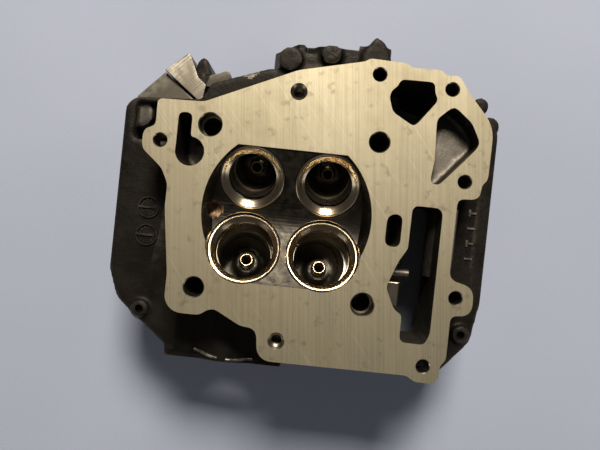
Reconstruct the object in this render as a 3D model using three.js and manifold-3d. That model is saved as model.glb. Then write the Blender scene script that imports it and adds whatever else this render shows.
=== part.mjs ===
// Cylinder head of a liquid-cooled single with four valves and one overhead camshaft, stripped of its valves.
// Millimetres, +Z up: the deck (combustion) face looks up and the cover gasket face looks down.
// Places are measured from the bore axis at the deck face: +X is the chain side, +Y the exhaust side,
// and a depth is a distance below the deck. The last lines move the head so that it stands on its cover face.
import * as THREE from "three";
import { mergeVertices } from "three/addons/utils/BufferGeometryUtils.js";
import Module from "manifold-3d";

const wasm = await Module();
wasm.setup();

// ---- Driving dimensions ----
const fitGap = 0.3; // clearance between pieces that touch
const arcStep = 3.2; // length of the straight steps that make a rounded corner

// Casting
const headHeight = 98; // deck face to cover gasket face
const deckThickness = 14;
const shoulderDepth = 30; // deck face to the roof of the rocker box
const roofThickness = 6;
const boxWall = 7;
const boxLeft = 102; // bore axis to the plug-side wall
const boxRight = 119; // bore axis to the chain-side wall
const boxFront = 84; // bore axis to the intake-side wall
const coreHalfWidth = 60; // half width of the solid middle between the two side cavities
const notchY = 36; // the left roof ends here, and the corner beyond it is open

// Bolt holes
const studRadius = 5.25;
const studSpanX = 90.8;
const studSpanY = 87.3;
const dowelRadius = 6;
const dowelDepth = 10;
const screwRadius = 3.5;
const tappedRadius = 3.3;
const tappedDepth = 18;

// Combustion chamber and valves
const boreRadius = 45.5;
const chamberExhaustY = 34.8;
const chamberIntakeY = -38.5;
const chamberLip = 0.6; // upright edge of the chamber before the roof slopes away
const valveTilt = THREE.MathUtils.degToRad(20);
const seatHeight = 6.5;
const guideRadius = 4.6;
const guideBore = 2.8;
const guideReach = 24; // seat plane to the guide's tip in the port
const guideStand = 15; // height of the guide above its spring pocket
const springPocketRadius = 14.5;
const springSeatRadius = 13;
const springSeatThickness = 1.6;
const seatWall = 4.4; // intake seat's outside to its throat
const exhaustSeatWall = 5.2;
// A pair of seats: the bridge is the metal from each seat to the middle plane between the two.
const valvePair = (side, seatRadius, wall, bridge, middle) => ({
  x: seatRadius + bridge,
  y: side * (seatRadius + middle),
  seatRadius,
  throatRadius: seatRadius - wall,
  side,
});
const intakeValve = valvePair(-1, 20, seatWall, 1.5, 0.5);
const exhaustValve = valvePair(1, 18, exhaustSeatWall, 2.9, -0.2);

// Ports
const portWall = 4.5;
const intakePort = { x: -30, face: -90, depth: 50, radius: 19, halfWidth: 35, top: 31, bottom: 76 };
const exhaustPort = { x: 16, face: 101, depth: 50, radius: 16, halfWidth: 35, top: 31, bottom: 76 };
const flangeHoleSpan = 54;
const flangeHoleDepth = 14;

// Spark plug
const plugX = -40;
const plugY = -1;
const plugTilt = THREE.MathUtils.degToRad(42);
const plugRadius = 4.6;
const plugReach = 19;
const plugWellRadius = 11;

// Camshaft and its bearings
const camToCover = 33; // cam axis to the cover gasket face
const journalRadius = 11;
const shaftRadius = 9;
const camBase = 13;
const camLift = 6;
const camNose = 5;
const camWidth = 9;
const floorToJournal = 2; // rocker bay floor to the camshaft bores
const leftBearingX = -45;
const rightBearingX = 49;
const bearingWidth = 16;
const bearingEdge = 3; // cap dowel hole to the end of its bearing
const capCrown = 8; // metal over the journal
const journalToDowel = 2;
const capBoltRadius = 3;
const capDowelRadius = 4.5;
const capDowelLength = 8;
const thrustPlateThickness = 2.5;
const thrustScrewInset = 4.5; // end of the bearing to the thrust plate's screw
const thrustScrewRise = 7.5; // cam axis to the thrust plate's screw
const thrustScrewRadius = 2;
const thrustScrewReach = 4.5;
const sprocketTeeth = 26;
const chainPitch = 6.35;
const sprocketThickness = 3;
const sprocketX = 72;

// Screw plugs, cover bolts and dowels
const coverPillarRadius = 8;
const coverPillarInset = 21; // side wall to the two visible cover bolt bosses
const coverDowelRadius = 4.6;
const coverDowelLength = 7;
const corePlugRadius = 8;
const galleryPlugRadius = 5;
const drainPlugRadius = 4;
const drainWasherRadius = 8;

// ---- Values worked out from them ----
const camDepth = headHeight - camToCover;
const floorDepth = camDepth - journalRadius - floorToJournal;
const capBoltY = journalRadius + journalToDowel + capDowelRadius;
const bearingHalfSpan = capBoltY + capDowelRadius + bearingEdge;
const capHeight = journalRadius + capCrown;
const thrustScrewY = bearingHalfSpan - thrustScrewInset;
const slope = Math.tan(valveTilt);
const ridgeY = (chamberExhaustY + chamberIntakeY) / 2;
const ridgeDepth = chamberLip + (chamberExhaustY - ridgeY) * slope;
const sprocketRadius = chainPitch / (2 * Math.sin(Math.PI / sprocketTeeth));
const troughRadius = camBase + camLift + 2;
const thrustX = rightBearingX - bearingWidth / 2; // inner face of the chain-side bearing

const studs = [
  { x: -studSpanX / 2, y: studSpanY / 2, dowel: true },
  { x: studSpanX / 2, y: studSpanY / 2, dowel: false },
  { x: -studSpanX / 2, y: -studSpanY / 2, dowel: false },
  { x: studSpanX / 2, y: -studSpanY / 2, dowel: true },
];
// Plugs in the intake-side wall: the core plugs close the water jacket's sand holes.
const corePlugs = [
  { side: "left", x: 28, depth: (shoulderDepth + floorDepth) / 2 },
  { side: "right", x: 50, depth: (shoulderDepth + floorDepth) / 2 },
];
const galleryPlug = { x: 72, depth: camDepth - 3 };
const drainPlug = { x: 90, depth: camDepth - 3 };
const screwHoles = [
  [41.8, 79.5],
  [81.1, 75.6],
  [92.9, 27.3],
  [94.6, -35],
  [81.1, -73.2],
  [-71.2, 32.7],
];
const tappedHoles = [
  [-0.2, 65.9],
  [1.5, -67.8],
];

// ---- Outlines: corners as [x, y, fillet radius] ----
const deckOutline = [
  [-74.6, 54.6, 2],
  [-50, 55.3, 8],
  [-1.4, 77.3, 14],
  [34, 85.7, 1],
  [35.6, 87.4, 1.5],
  [56.2, 86.9, 1.2],
  [57.3, 84.8, 1],
  [74.4, 85.2, 3],
  [78, 82.4, 2],
  [84, 83.6, 4],
  [89.5, 75.6, 5],
  [105.2, 58, 20],
  [105, 29.5, 3],
  [102.2, 26.5, 1],
  [101.6, 18.4, 7],
  [90.1, 18, 2.5],
  [90, -25.4, 5],
  [104, -28.6, 7],
  [104, -44, 8],
  [93, -44.6, 2.5],
  [93, -68.6, 3],
  [90.1, -72, 2],
  [90.1, -82, 8],
  [77, -82, 6],
  [73.2, -79, 3],
  [-7.9, -79.3, 8],
  [-9.6, -62.5, 5],
  [-18.5, -61.8, 7],
  [-34.8, -53.4, 6],
  [-41, -58.3, 4],
  [-60.4, -58.3, 14.4],
  [-60.3, -38, 14],
  [-65, -3, 24],
  [-65, 10, 8],
  [-69, 18, 8],
  [-80.6, 27.6, 6],
  [-80.6, 38, 7],
  [-74.3, 39.8, 2],
];
const boxOutline = [
  [-boxLeft, 60, 9],
  [-58, 63, 3],
  [-53, 73, 3],
  [-20, 85, 4],
  [62, 93, 8],
  [boxRight - 22, 85, 8],
  [boxRight, 62, 12],
  [boxRight, -40, 16],
  [boxRight - 4, -64, 9],
  [boxRight - 21, -boxFront, 6],
  [-65, -boxFront, 5],
  [6 - boxLeft, -59, 14],
  [-boxLeft, -42, 10],
];
const tunnelOutline = [
  [66.6, 11.9, 2.5],
  [83, 11.9, 3.5],
  [83, -55.5, 1],
  [80.6, -61.7, 1.5],
  [66.9, -61.5, 2.5],
  [66.9, -47, 2],
  [62.4, -44.4, 2],
  [57, -33, 3.5],
  [62.2, -18.5, 3],
  [66.4, -11.5, 2],
];
const drainOutline = [
  [53, 78.1, 2],
  [71.6, 78.4, 2],
  [72, 73, 1],
  [74.2, 68.9, 1.2],
  [63, 53.6, 2.5],
  [50.6, 60.4, 3],
  [48, 68.5, 3],
  [49.4, 72.6, 1.5],
  [51.8, 74, 1],
];
const pocketOutline = [
  [83, 67, 2.5],
  [93.4, 58.8, 5],
  [98.8, 48.6, 3.5],
  [97, 45, 2],
  [79.4, 24.2, 2.5],
  [74.2, 24.4, 2],
  [75.6, 37, 9],
  [74.5, 59, 3],
];
const slotOutline = [
  [53.7, 6.4, 5],
  [62, 6.4, 2.5],
  [62, -11.2, 2.5],
  [53.7, -11.2, 3],
];
const keyOutline = [
  [-62.6, 48.8, 1.5],
  [-55.2, 48.8, 1.5],
  [-55.2, 30, 0.5],
  [-62.6, 26, 0.5],
];
const wingOuter = [
  [-97.5, 61, 0.5],
  [-82, 78.3, 0.5],
  [-60.5, 60, 0.5],
  [-84, 58, 0.5],
];
const wingInner = [
  [-82.3, 78, 0.5],
  [-68.6, 91, 1],
  [-60.7, 73.6, 1],
  [-54, 71.5, 0.5],
  [-60.3, 59.5, 0.5],
];
const finOutline = [
  [33, 88, 0.5],
  [34, 100, 0.5],
  [41, 110, 1.5],
  [46.5, 107, 1],
  [53, 93, 1],
  [53, 86, 0.5],
];

// ---- Solids ----
// A closed geometry as a manifold-3d solid with its faces outwards.
function solid(geometry) {
  const bare = geometry.clone();
  bare.deleteAttribute("normal");
  bare.deleteAttribute("uv");
  const merged = mergeVertices(bare, 1e-4);
  const make = (triVerts) =>
    new wasm.Manifold(
      new wasm.Mesh({ numProp: 3, vertProperties: merged.attributes.position.array, triVerts }),
    );
  const triangles = new Uint32Array(merged.index.array);
  const made = make(triangles);
  return made.volume() < 0 ? make(triangles.slice().reverse()) : made;
}

function toGeometry(manifold) {
  const mesh = manifold.getMesh();
  const geometry = new THREE.BufferGeometry();
  geometry.setAttribute("position", new THREE.BufferAttribute(mesh.vertProperties, 3));
  geometry.setIndex(new THREE.BufferAttribute(mesh.triVerts, 1));
  const flat = geometry.toNonIndexed();
  flat.computeVertexNormals();
  return flat;
}

const join = (solids) => solids.reduce((all, next) => all.add(next));
const cut = (body, solids) => solids.reduce((left, next) => left.subtract(next), body);

// A closed shape through corners [x, y, radius], each rounded by an arc of its radius in steps of about arcStep.
function roundedShape(corners) {
  const points = corners.flatMap(([x, y, radius], i) => {
    const corner = new THREE.Vector2(x, y);
    const before = new THREE.Vector2(...corners.at(i - 1)).sub(corner);
    const after = new THREE.Vector2(...corners[(i + 1) % corners.length]).sub(corner);
    const halfAngle = Math.acos(before.clone().normalize().dot(after.clone().normalize())) / 2;
    const reach = Math.min(radius / Math.tan(halfAngle), before.length() * 0.49, after.length() * 0.49);
    const arcRadius = reach * Math.tan(halfAngle);
    const turnsRight = before.cross(after) > 0;
    const sweep = (Math.PI - 2 * halfAngle) * (turnsRight ? -1 : 1);
    const start = corner.clone().add(before.setLength(reach));
    const toCentre = before.clone().add(after.setLength(reach)).setLength(arcRadius / Math.sin(halfAngle));
    const centre = corner.clone().add(toCentre);
    const steps = Math.max(1, Math.round(Math.abs(sweep * arcRadius) / arcStep));
    return Array.from({ length: steps + 1 }, (_, k) => start.clone().rotateAround(centre, (sweep * k) / steps));
  });
  return new THREE.Shape(points);
}

// Moves each edge of an outline inwards by a distance; corners stay sharp-cornered lists with their radii.
function inset(corners, distance) {
  const count = corners.length;
  const area = corners.reduce((sum, [x, y], i) => {
    const [nextX, nextY] = corners[(i + 1) % count];
    return sum + x * nextY - nextX * y;
  }, 0);
  const inward = area > 0 ? 1 : -1;
  return corners.map(([x, y, radius], i) => {
    const [beforeX, beforeY] = corners.at(i - 1);
    const [afterX, afterY] = corners[(i + 1) % count];
    const first = new THREE.Vector2(x - beforeX, y - beforeY).normalize();
    const second = new THREE.Vector2(afterX - x, afterY - y).normalize();
    const normals = new THREE.Vector2(-first.y - second.y, first.x + second.x);
    const scale = (inward * distance) / (1 + first.dot(second));
    return [x + normals.x * scale, y + normals.y * scale, Math.max(radius - distance, 1)];
  });
}

function prism(shape, topDepth, bottomDepth) {
  const depth = bottomDepth - topDepth;
  const geometry = new THREE.ExtrudeGeometry(shape, { depth, bevelEnabled: false });
  return solid(geometry.translate(0, 0, -bottomDepth));
}

// A prism whose upper face follows depthAt(x, y) instead of being level.
function slopedPrism(shape, bottomDepth, depthAt) {
  const geometry = new THREE.ExtrudeGeometry(shape, { depth: 1, bevelEnabled: false });
  const points = geometry.attributes.position;
  for (let i = 0; i < points.count; i++) {
    const top = points.getZ(i) > 0.5;
    points.setZ(i, top ? -depthAt(points.getX(i), points.getY(i)) : -bottomDepth);
  }
  return solid(geometry);
}

function box(x0, x1, y0, y1, topDepth, bottomDepth) {
  const geometry = new THREE.BoxGeometry(x1 - x0, y1 - y0, bottomDepth - topDepth);
  return solid(geometry.translate((x0 + x1) / 2, (y0 + y1) / 2, -(topDepth + bottomDepth) / 2));
}

// A round bar, or a cone, from one point to another.
function rod(from, to, startRadius, endRadius = startRadius, segments = 16) {
  const along = to.clone().sub(from);
  const geometry = new THREE.CylinderGeometry(endRadius, startRadius, along.length(), segments);
  const turn = new THREE.Quaternion().setFromUnitVectors(
    new THREE.Vector3(0, 1, 0),
    along.clone().normalize(),
  );
  geometry.applyQuaternion(turn);
  const middle = from.clone().addScaledVector(along, 0.5);
  return solid(geometry.translate(middle.x, middle.y, middle.z));
}

const at = (x, y, depth) => new THREE.Vector3(x, y, -depth);
const post = (x, y, topDepth, bottomDepth, radius, segments = 14) =>
  rod(at(x, y, topDepth), at(x, y, bottomDepth), radius, radius, segments);

// A ring turned about Z from a closed profile of [radius, height] points, clockwise seen with height up.
function turned(profile, segments = 28) {
  const points = [...profile, profile[0]].map(([radius, height]) => new THREE.Vector2(radius, height));
  const geometry = new THREE.LatheGeometry(points, segments).rotateX(Math.PI / 2);
  return solid(geometry);
}

function tube(outer, inner, bottom, top, segments = 28) {
  return turned([[inner, bottom], [outer, bottom], [outer, top], [inner, top]], segments);
}

// A point on the thrust plate screw's axis, measured along X from the inner face of the bearing.
const thrustScrewAt = (x) => new THREE.Vector3(x, thrustScrewY, thrustScrewRise);

// ---- Valve positions ----
const seatDepth = (valve) => chamberLip + (valve.side > 0 ? chamberExhaustY - valve.y : valve.y - chamberIntakeY) * slope;
const stemDirection = (valve) => new THREE.Vector3(0, valve.side * Math.sin(valveTilt), -Math.cos(valveTilt));
// A point on a valve's axis, a distance behind the plane of its seat.
const onAxis = (valve, x, distance) =>
  at(x, valve.y, seatDepth(valve)).addScaledVector(stemDirection(valve), distance);
// The spring pocket is deep enough to carry the whole spring seat.
const pocketReach = (valve) =>
  (floorDepth - seatDepth(valve)) / Math.cos(valveTilt) - springPocketRadius * slope;
const guideTop = (valve) => pocketReach(valve) + guideStand;

const valves = [
  { name: "intake_left", spec: intakeValve, x: -intakeValve.x, port: intakePort },
  { name: "intake_right", spec: intakeValve, x: intakeValve.x, port: intakePort },
  { name: "exhaust_left", spec: exhaustValve, x: -exhaustValve.x, port: exhaustPort },
  { name: "exhaust_right", spec: exhaustValve, x: exhaustValve.x, port: exhaustPort },
];

// ---- Casting ----
// The passage from one throat to the flange, as a bar of the given extra radius.
function portRun({ spec, x, port }, extra) {
  const start = onAxis(spec, x, 8);
  const bend = onAxis(spec, x, guideReach + 6);
  const merge = at(port.x + (x - port.x) * 0.4, port.face - spec.side * 36, port.depth);
  const end = at(port.x + (x - port.x) * 0.12, port.face - spec.side * 16, port.depth);
  const path = new THREE.CubicBezierCurve3(start, bend, merge, end);
  const circle = new THREE.Shape().absarc(0, 0, spec.throatRadius - 0.6 + extra, 0, Math.PI * 2);
  return solid(
    new THREE.ExtrudeGeometry(circle, { extrudePath: path, steps: 5, curveSegments: 12, bevelEnabled: false }),
  );
}

function portMouth(port, radius, overrun, length) {
  const side = Math.sign(port.face);
  return rod(
    at(port.x, port.face - side * length, port.depth),
    at(port.x, port.face + side * overrun, port.depth),
    radius * 0.86,
    radius,
    20,
  );
}

function flangeHoles(port) {
  const side = Math.sign(port.face);
  return [-1, 1].map((hand) =>
    rod(
      at(port.x + (hand * flangeHoleSpan) / 2, port.face + side, port.depth),
      at(port.x + (hand * flangeHoleSpan) / 2, port.face - side * flangeHoleDepth, port.depth),
      tappedRadius,
      tappedRadius,
      12,
    ),
  );
}

const plugDirection = new THREE.Vector3(-Math.sin(plugTilt), 0, -Math.cos(plugTilt));
const plugPoint = (distance) =>
  at(plugX, plugY, ridgeDepth - 4).addScaledVector(plugDirection, distance);
const plugWellEnd = (boxLeft + 12 + plugX) / Math.sin(plugTilt);

const coverPillars = [
  [coverPillarInset - boxLeft, -63.6],
  [boxRight - coverPillarInset + 10.2, -59.4],
  [8 - boxLeft, 51],
  [boxRight - 12, 62],
];
const raisedMarks = [-13, -4, 5, 14];
const dateDiscs = [
  [20 - boxLeft, -3.8],
  [20.3 - boxLeft, -20],
];

function outerBody() {
  const deck = prism(roundedShape(deckOutline), 0, deckThickness);
  const waist = prism(roundedShape(inset(deckOutline, 2.2)), deckThickness - 1, shoulderDepth + 2);
  const earRelief = box(-90, -66.5, 20, 50, deckThickness, shoulderDepth + 1);
  const boxWalls = prism(roundedShape(boxOutline), shoulderDepth, headHeight);
  const intakeBlock = box(
    intakePort.x - intakePort.halfWidth, intakePort.x + intakePort.halfWidth,
    intakePort.face, -boxFront + boxWall, intakePort.top, intakePort.bottom,
  );
  const intakeLedge = box(
    intakePort.x - 17, intakePort.x + 17, intakePort.face, -boxFront + boxWall,
    intakePort.top - 3, intakePort.top + 1,
  );
  const exhaustBlock = box(
    exhaustPort.x - exhaustPort.halfWidth, exhaustPort.x + exhaustPort.halfWidth,
    70, exhaustPort.face, exhaustPort.top, exhaustPort.bottom,
  );
  const exhaustSlot = box(0, 8, 96.5, exhaustPort.face + 1, exhaustPort.top - 1, exhaustPort.top + 6);
  const exhaustBoss = post(exhaustPort.x, 96, exhaustPort.top - 4, exhaustPort.top + 8, 6);
  const fin = prism(roundedShape(finOutline), exhaustPort.top - 2, exhaustPort.top + 14);
  return join([
    deck, cut(waist, [earRelief]), boxWalls, intakeBlock, intakeLedge,
    cut(exhaustBlock, [exhaustSlot]), exhaustBoss, fin,
  ]);
}

// Lugs, discs and marks that stand on the shoulder of the rocker box.
function shoulderDetails() {
  const wingA = slopedPrism(roundedShape(wingOuter), 80, (x, y) => 33 + (y - 58) * 0.18);
  const wingB = slopedPrism(roundedShape(wingInner), 80, (x, y) => 29.5 + (y - 58) * 0.26);
  const backLug = prism(roundedShape([[-62, 70, 1], [-61.5, 86, 2], [-58, 89, 2], [-52, 72, 1]]), 44, 80);
  const stub = post(-47, 78, 46, 70, 5);
  const cornerBosses = [post(boxRight - 11, 77, 34, 70, 5), post(boxRight - 3, 66, 38, 70, 6)];
  const boltBosses = coverPillars
    .slice(0, 2)
    .map(([x, y]) => post(x, y, shoulderDepth - 3, shoulderDepth + 1, 5.2));
  const discs = dateDiscs.flatMap(([x, y]) => [
    cut(post(x, y, shoulderDepth - 0.8, shoulderDepth + 1, 6.4, 16), [
      post(x, y, shoulderDepth - 2, shoulderDepth, 5.4, 16),
    ]),
    box(x - 5.6, x + 5.6, y - 0.6, y + 0.6, shoulderDepth - 0.8, shoulderDepth + 1),
  ]);
  const marks = raisedMarks.map((y) =>
    box(boxRight - 12.5, boxRight - 9, y - 1, y + 1, shoulderDepth - 0.8, shoulderDepth + 1),
  );
  return [wingA, wingB, backLug, stub, ...cornerBosses, ...boltBosses, ...discs, ...marks];
}

// The hollow under the rocker box roof: both side cavities at full height and the bay over the middle.
function cavity() {
  const inner = roundedShape(inset(boxOutline, boxWall));
  const whole = prism(inner, shoulderDepth + roofThickness, headHeight + 1);
  const middle = box(-coreHalfWidth, coreHalfWidth, -120, 120, 0, floorDepth);
  const openCorner = box(boxWall - boxLeft, -66.5, notchY, 58, shoulderDepth - 1, shoulderDepth + roofThickness + 1);
  return cut(whole, [middle]).add(openCorner);
}

// Pieces of metal that stand inside the cavity.
function innerBody() {
  const pedestals = [leftBearingX, rightBearingX].map((x) =>
    box(x - bearingWidth / 2, x + bearingWidth / 2, -bearingHalfSpan, bearingHalfSpan, floorDepth - 2, camDepth),
  );
  const studPads = studs.map(({ x, y }) => post(x, y, floorDepth - 2, floorDepth + 5, 10));
  const pillars = coverPillars.map(([x, y]) =>
    post(x, y, shoulderDepth + roofThickness - 3, headHeight, coverPillarRadius),
  );
  const shells = valves.map((valve) => portRun(valve, portWall));
  const mouths = [intakePort, exhaustPort].map((port) => portMouth(port, port.radius + portWall, 0, 20));
  const well = rod(plugPoint(plugReach), plugPoint(plugWellEnd), plugWellRadius + 4);
  const envelope = prism(roundedShape(inset(boxOutline, 1)), shoulderDepth + 1, headHeight - 4);
  return [...pedestals, ...studPads, ...pillars, ...mouths, ...[...shells, well].map((s) => s.intersect(envelope))];
}

function chamber() {
  const bowl = rod(at(0, 0, -1), at(0, 0, ridgeDepth + 1), boreRadius + 0.4, boreRadius - 5, 40);
  const profile = new THREE.Shape([
    new THREE.Vector2(chamberIntakeY, 1),
    new THREE.Vector2(chamberIntakeY, -chamberLip),
    new THREE.Vector2(ridgeY, -ridgeDepth),
    new THREE.Vector2(chamberExhaustY, -chamberLip),
    new THREE.Vector2(chamberExhaustY, 1),
  ]);
  const length = 2 * boreRadius + 10;
  const geometry = new THREE.ExtrudeGeometry(profile, { depth: length, bevelEnabled: false });
  geometry.translate(0, 0, -length / 2).rotateY(Math.PI / 2).rotateX(Math.PI / 2);
  return bowl.intersect(solid(geometry));
}

function valveCuts({ spec, x }) {
  const seatBore = rod(onAxis(spec, x, -8), onAxis(spec, x, seatHeight + fitGap), spec.seatRadius + fitGap,
    spec.seatRadius + fitGap, 20);
  const throat = rod(onAxis(spec, x, 0), onAxis(spec, x, 16), spec.throatRadius + 0.4, spec.throatRadius - 0.8, 16);
  const guideHole = rod(onAxis(spec, x, guideReach - 2), onAxis(spec, x, pocketReach(spec) + 30),
    guideRadius + fitGap, guideRadius + fitGap, 12);
  const pocket = rod(onAxis(spec, x, pocketReach(spec)), onAxis(spec, x, pocketReach(spec) + 26), springPocketRadius);
  return [seatBore, throat, guideHole, pocket];
}

function passages() {
  const through = headHeight + 2;
  const studHoles = studs.map(({ x, y }) => post(x, y, -1, through, studRadius));
  const dowelHoles = studs.filter((s) => s.dowel).map(({ x, y }) => post(x, y, -1, dowelDepth, dowelRadius));
  const screws = screwHoles.map(([x, y]) => post(x, y, -1, through, screwRadius, 12));
  const tapped = tappedHoles.map(([x, y]) => post(x, y, -1, tappedDepth, tappedRadius, 10));
  const mouths = tappedHoles.map(([x, y]) =>
    rod(at(x, y, -0.6), at(x, y, 1.2), tappedRadius + 1.8, tappedRadius, 10));
  const tunnel = prism(roundedShape(tunnelOutline), -1, shoulderDepth + roofThickness + 1);
  const drain = prism(roundedShape(drainOutline), -1, shoulderDepth + roofThickness + 1);
  const pocketFloor = slopedPrism(roundedShape(pocketOutline), -1, (x, y) => 9 + (y - 24) * 0.14);
  const slot = prism(roundedShape(slotOutline), -1, shoulderDepth);
  const keySlot = prism(roundedShape(keyOutline), -1, shoulderDepth - 2);
  const keyHole = post(-54.9, 28.3, -1, shoulderDepth - 2, 7.9);
  return [
    ...studHoles, ...dowelHoles, ...screws, ...tapped, ...mouths, tunnel, drain, pocketFloor, slot, keySlot, keyHole,
  ];
}

function bearingCuts() {
  const axisLeft = at(-coreHalfWidth - 4, 0, camDepth);
  const axisRight = at(coreHalfWidth + 4, 0, camDepth);
  const bore = rod(axisLeft, axisRight, journalRadius + fitGap, journalRadius + fitGap, 28);
  const trough = rod(
    at(leftBearingX + bearingWidth / 2, 0, camDepth),
    at(rightBearingX - bearingWidth / 2, 0, camDepth),
    troughRadius,
  );
  const bolts = [leftBearingX, rightBearingX].flatMap((x) =>
    [-capBoltY, capBoltY].flatMap((y) => [
      post(x, y, floorDepth, headHeight, capBoltRadius + fitGap, 16),
      post(x, y, camDepth - capDowelLength / 2 - fitGap, headHeight, capDowelRadius + fitGap, 20),
    ]),
  );
  const plateScrew = rod(
    thrustScrewAt(thrustX - 4).setZ(thrustScrewRise - camDepth),
    thrustScrewAt(thrustX + thrustScrewReach).setZ(thrustScrewRise - camDepth),
    thrustScrewRadius + fitGap, thrustScrewRadius + fitGap, 12,
  );
  return { bore, trough, bolts: [...bolts, plateScrew] };
}
function headCasting() {
  const { bore, trough, bolts } = bearingCuts();
  const plugBore = rod(plugPoint(-8), plugPoint(plugReach + 2), plugRadius, plugRadius, 20);
  const plugWell = rod(plugPoint(plugReach), plugPoint(plugWellEnd + 20), plugWellRadius);
  const coverHoles = coverPillars.flatMap(([x, y], i) => [
    post(x, y, headHeight - 20, headHeight + 1, 2.6, 14),
    ...(i < 2 ? [post(x, y, headHeight - coverDowelLength - 2 * fitGap, headHeight + 1, coverDowelRadius + fitGap)] : []),
  ]);
  const body = cut(join([outerBody(), ...shoulderDetails()]), [cavity()]);
  const withInside = join([body, ...innerBody()]);
  const guideBosses = valves.map(({ spec, x }) =>
    rod(onAxis(spec, x, guideReach + 5), onAxis(spec, x, pocketReach(spec)), guideRadius + 2, guideRadius + 5, 10),
  );
  const ports = cut(join([
    ...valves.map((valve) => portRun(valve, 0)),
    ...[intakePort, exhaustPort].map((port) => portMouth(port, port.radius, 1, 26)),
  ]), guideBosses);
  return cut(withInside, [
    chamber(),
    ports,
    ...valves.flatMap(valveCuts),
    ...[intakePort, exhaustPort].flatMap(flangeHoles),
    bore,
    trough,
    ...bolts,
    plugBore,
    plugWell,
    ...coverHoles,
    ...passages(),
    ...plugHoles(),
  ]);
}

// ---- Plugs in the intake-side wall ----
const wallPoint = (plug, inward) => at(plug.x, inward - boxFront, plug.depth);

function plugHoles() {
  const cores = corePlugs.map((plug) => rod(wallPoint(plug, -1), wallPoint(plug, 5), corePlugRadius + fitGap));
  const gallery = rod(wallPoint(galleryPlug, -1), wallPoint(galleryPlug, boxWall + 1), galleryPlugRadius + fitGap);
  const drain = rod(wallPoint(drainPlug, -1), wallPoint(drainPlug, boxWall + 1), drainPlugRadius + fitGap);
  return [...cores, gallery, drain];
}

// ---- Materials ----
const metal = (color, roughness, metalness) => new THREE.MeshStandardMaterial({ color, roughness, metalness });
const look = {
  casting: () => metal(0x1d1a18, 0.5, 0.4),
  seat: () => metal(0xb9ab98, 0.28, 1),
  guide: () => metal(0xa88c5c, 0.35, 1),
  steel: () => metal(0x9a9a98, 0.35, 1),
  cam: () => metal(0x7d7a76, 0.3, 1),
  aluminium: () => metal(0xb4b0a6, 0.45, 0.9),
  zinc: () => metal(0xb9a667, 0.4, 0.9),
  rubber: () => metal(0x2b4a36, 0.8, 0),
  copper: () => metal(0xb06a42, 0.4, 1),
};

// ---- Scene graph ----
const head = new THREE.Group();

function add(parent, name, shape, material) {
  const mesh = new THREE.Mesh(toGeometry(shape), material);
  mesh.name = name;
  parent.add(mesh);
  return mesh;
}

add(head, "head_casting", headCasting(), look.casting());

// Each valve station is a group on its seat plane, with the stem running down its -Z.
for (const { name, spec, x } of valves) {
  const station = new THREE.Group();
  station.position.copy(onAxis(spec, x, 0));
  station.rotation.x = spec.side * valveTilt;
  head.add(station);
  const pocket = -pocketReach(spec);
  const top = -guideTop(spec);

  const outer = spec.seatRadius;
  const inner = spec.throatRadius;
  const face = 1.8; // width of the ground face
  const ring = turned(
    [[inner, -seatHeight], [outer, -seatHeight], [outer, -0.4], [outer - 0.8, 0], [outer - 1.6, 0],
      [outer - 1.6 - face, -face], [inner, -face - 1.6]], 26);
  add(station, `${name}_valve_seat`, ring, look.seat());

  const guide = turned(
    [[guideBore, top], [guideRadius - 0.6, top], [guideRadius, top + 0.6], [guideRadius, -guideReach - 2.4],
      [guideRadius - 1, -guideReach], [guideBore, -guideReach]], 14);
  add(station, `${name}_valve_guide`, guide, look.guide());

  const clip = tube(guideRadius + 2.2, guideRadius + fitGap, pocket - 1.5, pocket - fitGap, 14);
  add(station, `${name}_guide_circlip`, clip, look.steel());

  const springSeat = turned(
    [[guideRadius + 2.8, pocket - springSeatThickness - 1.6], [guideRadius + 4.2, pocket - springSeatThickness - 1.6],
      [guideRadius + 4.2, pocket - springSeatThickness], [springSeatRadius, pocket - springSeatThickness],
      [springSeatRadius, pocket - fitGap], [guideRadius + 2.8, pocket - fitGap]], 16);
  add(station, `${name}_spring_seat`, springSeat, look.steel());

  const sealRadius = guideRadius + 2;
  const seal = turned(
    [[guideRadius + fitGap, top - fitGap], [guideRadius + fitGap, top + 9], [sealRadius, top + 9],
      [sealRadius, top - 1], [guideBore + 1.2, top - 3], [guideBore + 0.1, top - 3], [guideBore + 0.1, top - fitGap]],
    14);
  add(station, `${name}_stem_seal`, seal, look.rubber());
}

// Bearing caps with their bolts and hollow dowels.
const capBottom = camDepth + capHeight;
const hexShape = (acrossFlats) =>
  new THREE.Shape(
    Array.from({ length: 6 }, (_, i) => {
      const angle = (i * Math.PI) / 3;
      return new THREE.Vector2(Math.cos(angle), Math.sin(angle)).multiplyScalar(acrossFlats / Math.sqrt(3));
    }),
  );

function bearingCap(x) {
  const half = bearingWidth / 2;
  const profile = roundedShape([
    [-bearingHalfSpan, -camDepth - fitGap, 0.5],
    [bearingHalfSpan, -camDepth - fitGap, 0.5],
    [bearingHalfSpan, -camDepth - 9, 2],
    [14, -capBottom, 4],
    [-14, -capBottom, 4],
    [-bearingHalfSpan, -camDepth - 9, 2],
  ]);
  const geometry = new THREE.ExtrudeGeometry(profile, { depth: bearingWidth, bevelEnabled: false });
  const block = solid(geometry.rotateX(Math.PI / 2).rotateZ(Math.PI / 2).translate(x - half, 0, 0));
  const { bore } = bearingCuts();
  const seats = [-capBoltY, capBoltY].map((y) => post(x, y, camDepth + 10, headHeight, 6.6));
  const dowels = [-capBoltY, capBoltY].map((y) =>
    post(x, y, camDepth, camDepth + capDowelLength / 2 + fitGap, capDowelRadius + fitGap));
  const boltHoles = [-capBoltY, capBoltY].map((y) => post(x, y, camDepth, headHeight, capBoltRadius + fitGap, 16));
  return cut(block, [bore, ...seats, ...dowels, ...boltHoles]);
}

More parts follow.
